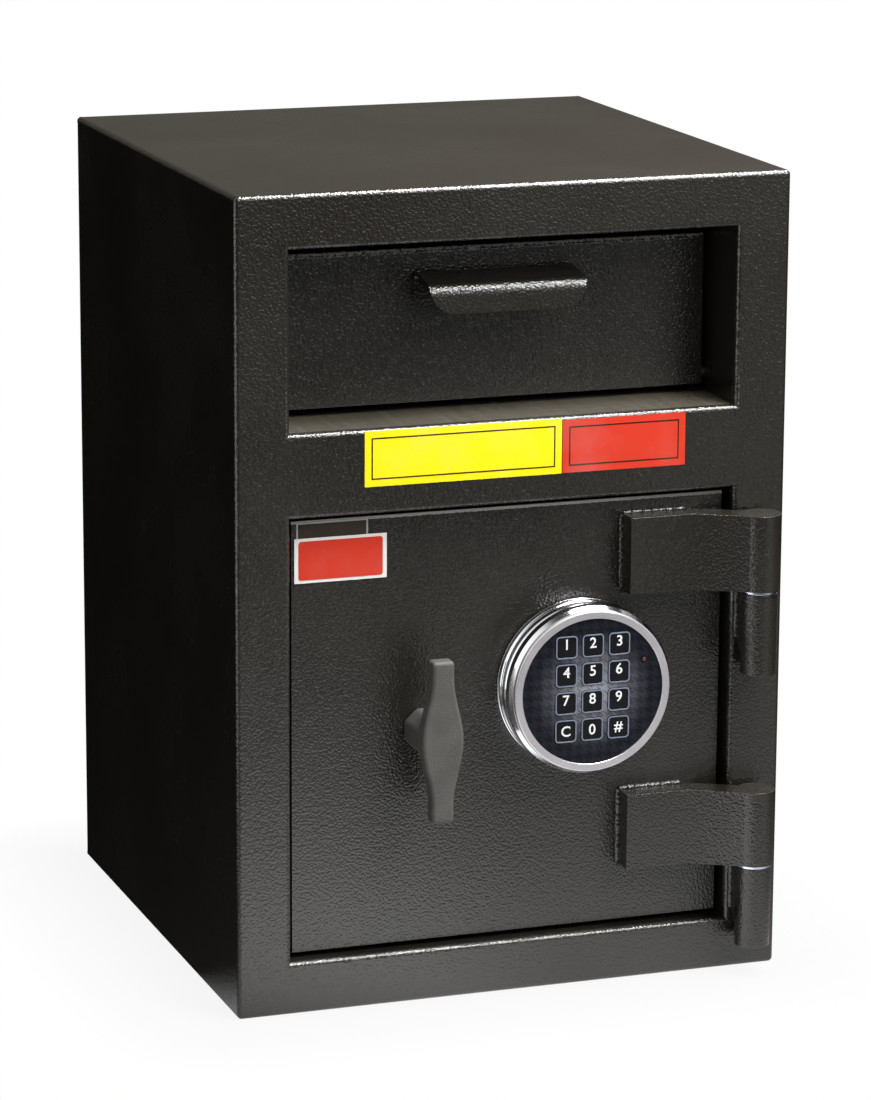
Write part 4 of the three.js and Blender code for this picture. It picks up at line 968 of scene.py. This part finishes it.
def glyph(text, centre, height, front):
    curve = bpy.data.curves.new("glyph", "FONT")
    curve.body = text
    curve.size = height / FONT_CAP_SHARE
    curve.offset = INK_SPREAD
    curve.extrude = INK_THICKNESS / 2
    curve.align_x = "CENTER"
    curve.resolution_u = GLYPH_STEPS
    holder = bpy.data.objects.new("glyph", curve)
    bpy.context.scene.collection.objects.link(holder)
    bpy.context.view_layer.update()
    evaluated = holder.evaluated_get(bpy.context.evaluated_depsgraph_get())
    mesh = bpy.data.meshes.new_from_object(evaluated)
    bm = bmesh.new()
    bm.from_mesh(mesh)
    bpy.data.objects.remove(holder)
    bpy.data.meshes.remove(mesh)
    lowest = min(vertex.co.y for vertex in bm.verts)
    highest = max(vertex.co.y for vertex in bm.verts)
    left = min(vertex.co.x for vertex in bm.verts)
    right = max(vertex.co.x for vertex in bm.verts)
    across, up = centre
    for vertex in bm.verts:
        x, y, z = vertex.co
        vertex.co = (across + x - (left + right) / 2, front - z, up + y - (lowest + highest) / 2)
    return bm


# A small red lens in a dark collar
def led_lens():
    low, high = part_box("led_lens")
    centre = ((low.x + high.x) / 2, low.y, (low.z + high.z) / 2)
    outer, inner, depth = (high.x - low.x) / 2, LENS_RADIUS, high.y - low.y
    ring = [(inner, COLLAR_STEP), (outer, COLLAR_STEP), (outer, depth), (inner, depth)]
    collar = lathe(ring, "y", centre)
    dome = [(inner * math.cos(angle), COLLAR_STEP * (1 - math.sin(angle)))
            for angle in (QUARTER_TURN * step / BEND_SEGMENTS for step in range(BEND_SEGMENTS + 1))]
    lens = lathe([*dome[:-1], (0.0, 0.0), (0.0, depth), (inner, depth)], "y", centre)
    make_piece("led_lens_finished", joined(painted(collar, 0), painted(lens, 1)), "door",
               [SLOT_MATERIALS["key_plastic"], SLOT_MATERIALS["led_lens"]], ["led_lens"], edge=None)


KEY_TEXTS = {"clear": "C", "0": "0", "hash": "#"}


def key(name):
    node = "key_" + name
    low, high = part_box(node)
    middle = (low + high) / 2
    half_width = (high.x - low.x) / 2 - KEY_FLANGE_WIDTH
    half_height = (high.z - low.z) / 2 - KEY_FLANGE_WIDTH
    outline = rounded_rectangle(
        middle.x - half_width, middle.x + half_width, middle.z - half_height, middle.z + half_height,
        KEY_CORNER_RADIUS)
    flange = rounded_rectangle(low.x, high.x, low.z, high.z, KEY_CORNER_RADIUS + KEY_FLANGE_WIDTH)
    cap = prism(outline, "y", low.y + RIM_RISE, high.y - KEY_FLANGE_THICKNESS)
    foot = prism(flange, "y", high.y - KEY_FLANGE_THICKNESS, high.y)
    inside = rounded_rectangle(
        middle.x - half_width + RIM_WIDTH, middle.x + half_width - RIM_WIDTH,
        middle.z - half_height + RIM_WIDTH, middle.z + half_height - RIM_WIDTH,
        KEY_CORNER_RADIUS - RIM_WIDTH)
    rim = ring_plate(outline, inside, low.y, low.y + 3 * RIM_RISE)
    text = KEY_TEXTS.get(name, name)
    rise = 0.0 if name in KEY_TEXTS else DIGIT_RISE
    digit = glyph(text, (middle.x, middle.z + rise), DIGIT_HEIGHT, low.y + RIM_RISE - INK_THICKNESS / 4)
    whole = joined(painted(cap, 0), painted(foot, 0), painted(rim, 1), painted(digit, 2))
    make_piece(node + "_finished", whole, BODY_OF[node],
               [SLOT_MATERIALS["key_plastic"], RIM_INK, WHITE_INK], [node], EDGE_KEY, FEW_SEGMENTS)


# A flat ring between two outlines that have as many points
def ring_plate(outer, inner, front, back):
    bm = bmesh.new()
    loops = []
    for outline, y in ((outer, front), (inner, front), (inner, back), (outer, back)):
        loops.append([bm.verts.new((a, y, b)) for a, b in outline])
    count = len(outer)
    for first, second in zip(loops, loops[1:] + loops[:1]):
        for index in range(count):
            following = (index + 1) % count
            bm.faces.new((first[index], second[index], second[following], first[following]))
    bmesh.ops.recalc_face_normals(bm, faces=bm.faces)
    return bm


# Labels: plain film
def film(name, body, plane, box, field, line=None, radius=LABEL_CORNER_RADIUS):
    left, right, bottom, top = box
    front = plane - LABEL_THICKNESS
    outline = rounded_rectangle(left, right, bottom, top, radius, LABEL_CORNER_STEPS)
    parts, materials = [painted(prism(outline, "y", front, plane), 0)], [field]
    if line:
        inset = LABEL_LINE_INSET
        outer = rounded_rectangle(
            left + inset, right - inset, bottom + inset, top - inset,
            LINE_OUTER_RADIUS, LINE_CORNER_STEPS)
        inner = rounded_rectangle(
            left + inset + LABEL_LINE, right - inset - LABEL_LINE,
            bottom + inset + LABEL_LINE, top - inset - LABEL_LINE,
            LINE_INNER_RADIUS, LINE_CORNER_STEPS)
        parts.append(painted(ring_plate(outer, inner, front - INK_THICKNESS, front + INK_THICKNESS), 1))
        materials.append(line)
    make_piece(name, joined(*parts), body, materials, edge=None)


def labels():
    front, door = frame_low.y, door_low.y
    film("label_yellow", "safe_body", front, YELLOW_LABEL, YELLOW_FILM, DARK_LINE)
    film("label_red", "safe_body", front, RED_LABEL, RED_FILM, DARK_LINE)
    left, right, bottom, top = DOOR_PLATE_BADGE
    rim = BADGE_RIM
    film("badge_edge", "door", door, DOOR_PLATE_BADGE, SLOT_MATERIALS["satin_ring"])
    film("badge_field", "door", door - LABEL_THICKNESS,
         (left + rim, right - rim, bottom + rim, top - rim), BADGE_FIELD)
    film("label_white", "door", door - 2 * LABEL_THICKNESS, WHITE_LABEL, WHITE_FILM)
    left, right, bottom, top = WHITE_LABEL
    inset, rise = RED_FIELD_INSET, RED_FIELD_INSET * RED_FIELD_INSET_SHARE
    film("label_white_field", "door", door - 3 * LABEL_THICKNESS,
         (left + inset, right - inset, bottom + rise, top - rise), RED_FILM, radius=RED_FIELD_RADIUS)


# Light and floor: how far a direction or place lies towards a side, as the cosine between them
def facing(graph, vector, side):
    flat = graph.add("VectorMath", {0: vector, 1: (1.0, 1.0, 0.0)}, operation="MULTIPLY").outputs[0]
    unit = graph.add("VectorMath", {0: flat}, operation="NORMALIZE").outputs[0]
    return graph.add("VectorMath", {0: unit, 1: side}, operation="DOT_PRODUCT").outputs["Value"]


def window_glow(graph, vector):
    return graph.ramp(facing(graph, vector, WINDOW_SIDE), *WINDOW_RAMP, 0.0, WINDOW_STRENGTH)


# A low strip of light in front, which shows the grain
def strip_glow(graph, direction):
    height = graph.add("SeparateXYZ", {0: direction}).outputs[2]
    band = graph.math("MULTIPLY", graph.ramp(height, *STRIP_FOOT), graph.ramp(height, *STRIP_TOP))
    aside = graph.ramp(facing(graph, direction, STRIP_SIDE), *STRIP_RAMP, 0.0, STRIP_STRENGTH)
    return graph.math("MULTIPLY", band, aside)


# White to the camera with a soft contact shadow; to glossy rays it shows a painted pool of light close in
# front
def floor():
    bm = bmesh.new()
    bmesh.ops.create_grid(bm, x_segments=1, y_segments=1, size=FLOOR_HALF_SIZE)
    mesh = bpy.data.meshes.new("floor")
    bm.to_mesh(mesh)
    bm.free()
    plane = bpy.data.objects.new("floor", mesh)
    bpy.context.scene.collection.objects.link(plane)
    material = bpy.data.materials.new("floor")
    material.use_nodes = True
    graph = Graph(material.node_tree)
    place = graph.add("NewGeometry").outputs["Position"]
    path = graph.add("LightPath").outputs
    beyond = graph.add("VectorMath", {0: place}, operation="ABSOLUTE").outputs[0]
    beyond = graph.add("VectorMath", {0: beyond, 1: (wrap_high.x, wrap_high.y, 0.0)}, operation="SUBTRACT")
    beyond = graph.add("VectorMath", {0: beyond.outputs[0], 1: (0, 0, 0)}, operation="MAXIMUM").outputs[0]
    clearance = graph.add("VectorMath", {0: beyond}, operation="LENGTH").outputs["Value"]
    white_share = graph.ramp(clearance, 0.0, CONTACT_REACH, CONTACT_SHARE, 1.0)
    distance = graph.add("VectorMath", {0: place}, operation="LENGTH").outputs["Value"]
    aside = graph.add("VectorMath", {0: place, 1: POOL_CENTRE}, operation="DISTANCE").outputs["Value"]
    reach = graph.math("DIVIDE", aside, POOL_RADIUS)
    fall = graph.math("MULTIPLY_ADD", reach, reach, 1.0)
    far = graph.ramp(facing(graph, place, FAR_SIDE), *FAR_RAMP, 0.0, FAR_STRENGTH)
    pool = graph.math("ADD", graph.math("DIVIDE", POOL_STRENGTH, fall), far)
    lit = graph.ramp(facing(graph, place, FRONT_SIDE), *FRONT_RAMP)
    window = graph.math("MULTIPLY", window_glow(graph, place), graph.ramp(distance, *WINDOW_DISTANCES))
    gloss = graph.math("MULTIPLY_ADD", pool, graph.math("MAXIMUM", lit, FRONT_LEAST), window)
    glossy = path["Is Glossy Ray"]
    strength = graph.math("MULTIPLY_ADD", glossy, graph.math("SUBTRACT", gloss, 1.0), 1.0)
    seen = graph.math("MULTIPLY", path["Is Camera Ray"], white_share)
    other = graph.math("ADD", glossy, path["Is Transmission Ray"])
    factor = graph.math("ADD", seen, other, clamp=True)
    pale = graph.add("BsdfDiffuse", {"Color": rgba((FLOOR_ALBEDO,) * 3)})
    white = graph.add("Emission", {"Color": rgba((1, 1, 1)), "Strength": strength})
    both = graph.add("MixShader", {0: factor, 1: pale.outputs[0], 2: white.outputs[0]})
    output = graph.add("OutputMaterial")
    graph.feed(output.inputs[0], both.outputs[0])
    mesh.materials.append(material)


def world():
    background = bpy.data.worlds.new("studio")
    bpy.context.scene.world = background
    background.use_nodes = True
    graph = Graph(background.node_tree)
    direction = graph.add("TexCoord").outputs["Generated"]
    path = graph.add("LightPath").outputs
    glow = graph.math("ADD", window_glow(graph, direction), strip_glow(graph, direction))
    behind = graph.ramp(facing(graph, direction, BACK_SIDE), *BACK_RAMP)
    glow = graph.math("MULTIPLY_ADD", behind, BACK_STRENGTH, glow)
    gloss = graph.math("ADD", glow, WORLD_GLOSS)
    clear = graph.math("ADD", path["Is Camera Ray"], path["Is Transmission Ray"], clamp=True)
    strength = graph.math("MULTIPLY_ADD", clear, 1.0 - AMBIENT, AMBIENT)
    offset = graph.math("SUBTRACT", gloss, AMBIENT)
    strength = graph.math("MULTIPLY_ADD", path["Is Glossy Ray"], offset, strength)
    warm = graph.math("MULTIPLY", behind, path["Is Glossy Ray"])
    tint = graph.mix(warm, rgba((1, 1, 1)), rgba(BACK_COLOR))
    shade = graph.add("Background", {"Color": tint, "Strength": strength})
    output = graph.add("OutputWorld")
    graph.feed(output.inputs[0], shade.outputs[0])


def area_light(name, place, target, size, power):
    lamp = bpy.data.lights.new(name, "AREA")
    lamp.shape = "RECTANGLE"
    lamp.size, lamp.size_y = size
    lamp.energy = power
    holder = bpy.data.objects.new(name, lamp)
    holder.location = place
    holder.rotation_euler = (Vector(target) - Vector(place)).to_track_quat("-Z", "Y").to_euler()
    bpy.context.scene.collection.objects.link(holder)


def camera():
    data = bpy.data.cameras.new("camera")
    data.lens = CAMERA_LENS
    holder = bpy.data.objects.new("camera", data)
    bpy.context.scene.collection.objects.link(holder)
    forward = Vector(CAMERA_FORWARD).normalized()
    right = forward.cross(Vector((0, 0, 1))).normalized()
    up = right.cross(forward)
    right = (right + up * CAMERA_ROLL).normalized()
    up = right.cross(forward)
    turn = Matrix((right, up, -forward)).transposed().to_4x4()
    holder.matrix_world = Matrix.Translation(CAMERA_PLACE) @ turn
    bpy.context.scene.camera = holder


camera()
front_frame()
body_wrap()
drawer_front()
drawer_pull()
hinge_welds()
t_handle()
keypad_housing()
keypad_bezel()
led_lens()
for key_name in ("1", "2", "3", "4", "5", "6", "7", "8", "9", "clear", "0", "hash"):
    key(key_name)
labels()

for node in ("back_panel", "door_stop", "drawer_cheek_left", "drawer_cheek_right",
             "bolt_guide", "dead_bar"):
    dressed(node, EDGE_PLATE)
for node in ("drop_shelf", "anti_fish_baffle", "drawer_tray"):
    dressed(node, EDGE_SMALL, material=COAT_INSIDE)
dressed("deposit_throat", EDGE_SMALL, material=COAT_THROAT)
for node in ("hinge_washer_upper", "hinge_washer_lower"):
    dressed(node, EDGE_SMALL, material=WASHER_STEEL)
dressed("door_plate", EDGE_DOOR, DOOR_EDGE_SEGMENTS, material=COAT_DOOR)
for node in ("hinge_arm_upper", "hinge_arm_lower", "hinge_barrel_upper", "hinge_barrel_lower"):
    dressed(node, EDGE_CAST)
for node in sorted(frame["nodes"]):
    if not frame["nodes"][node].hide_render:
        dressed(node)

floor()
world()
for lamp in LAMPS:
    area_light(*lamp)

settings = bpy.context.scene.view_settings
settings.view_transform = "Standard"
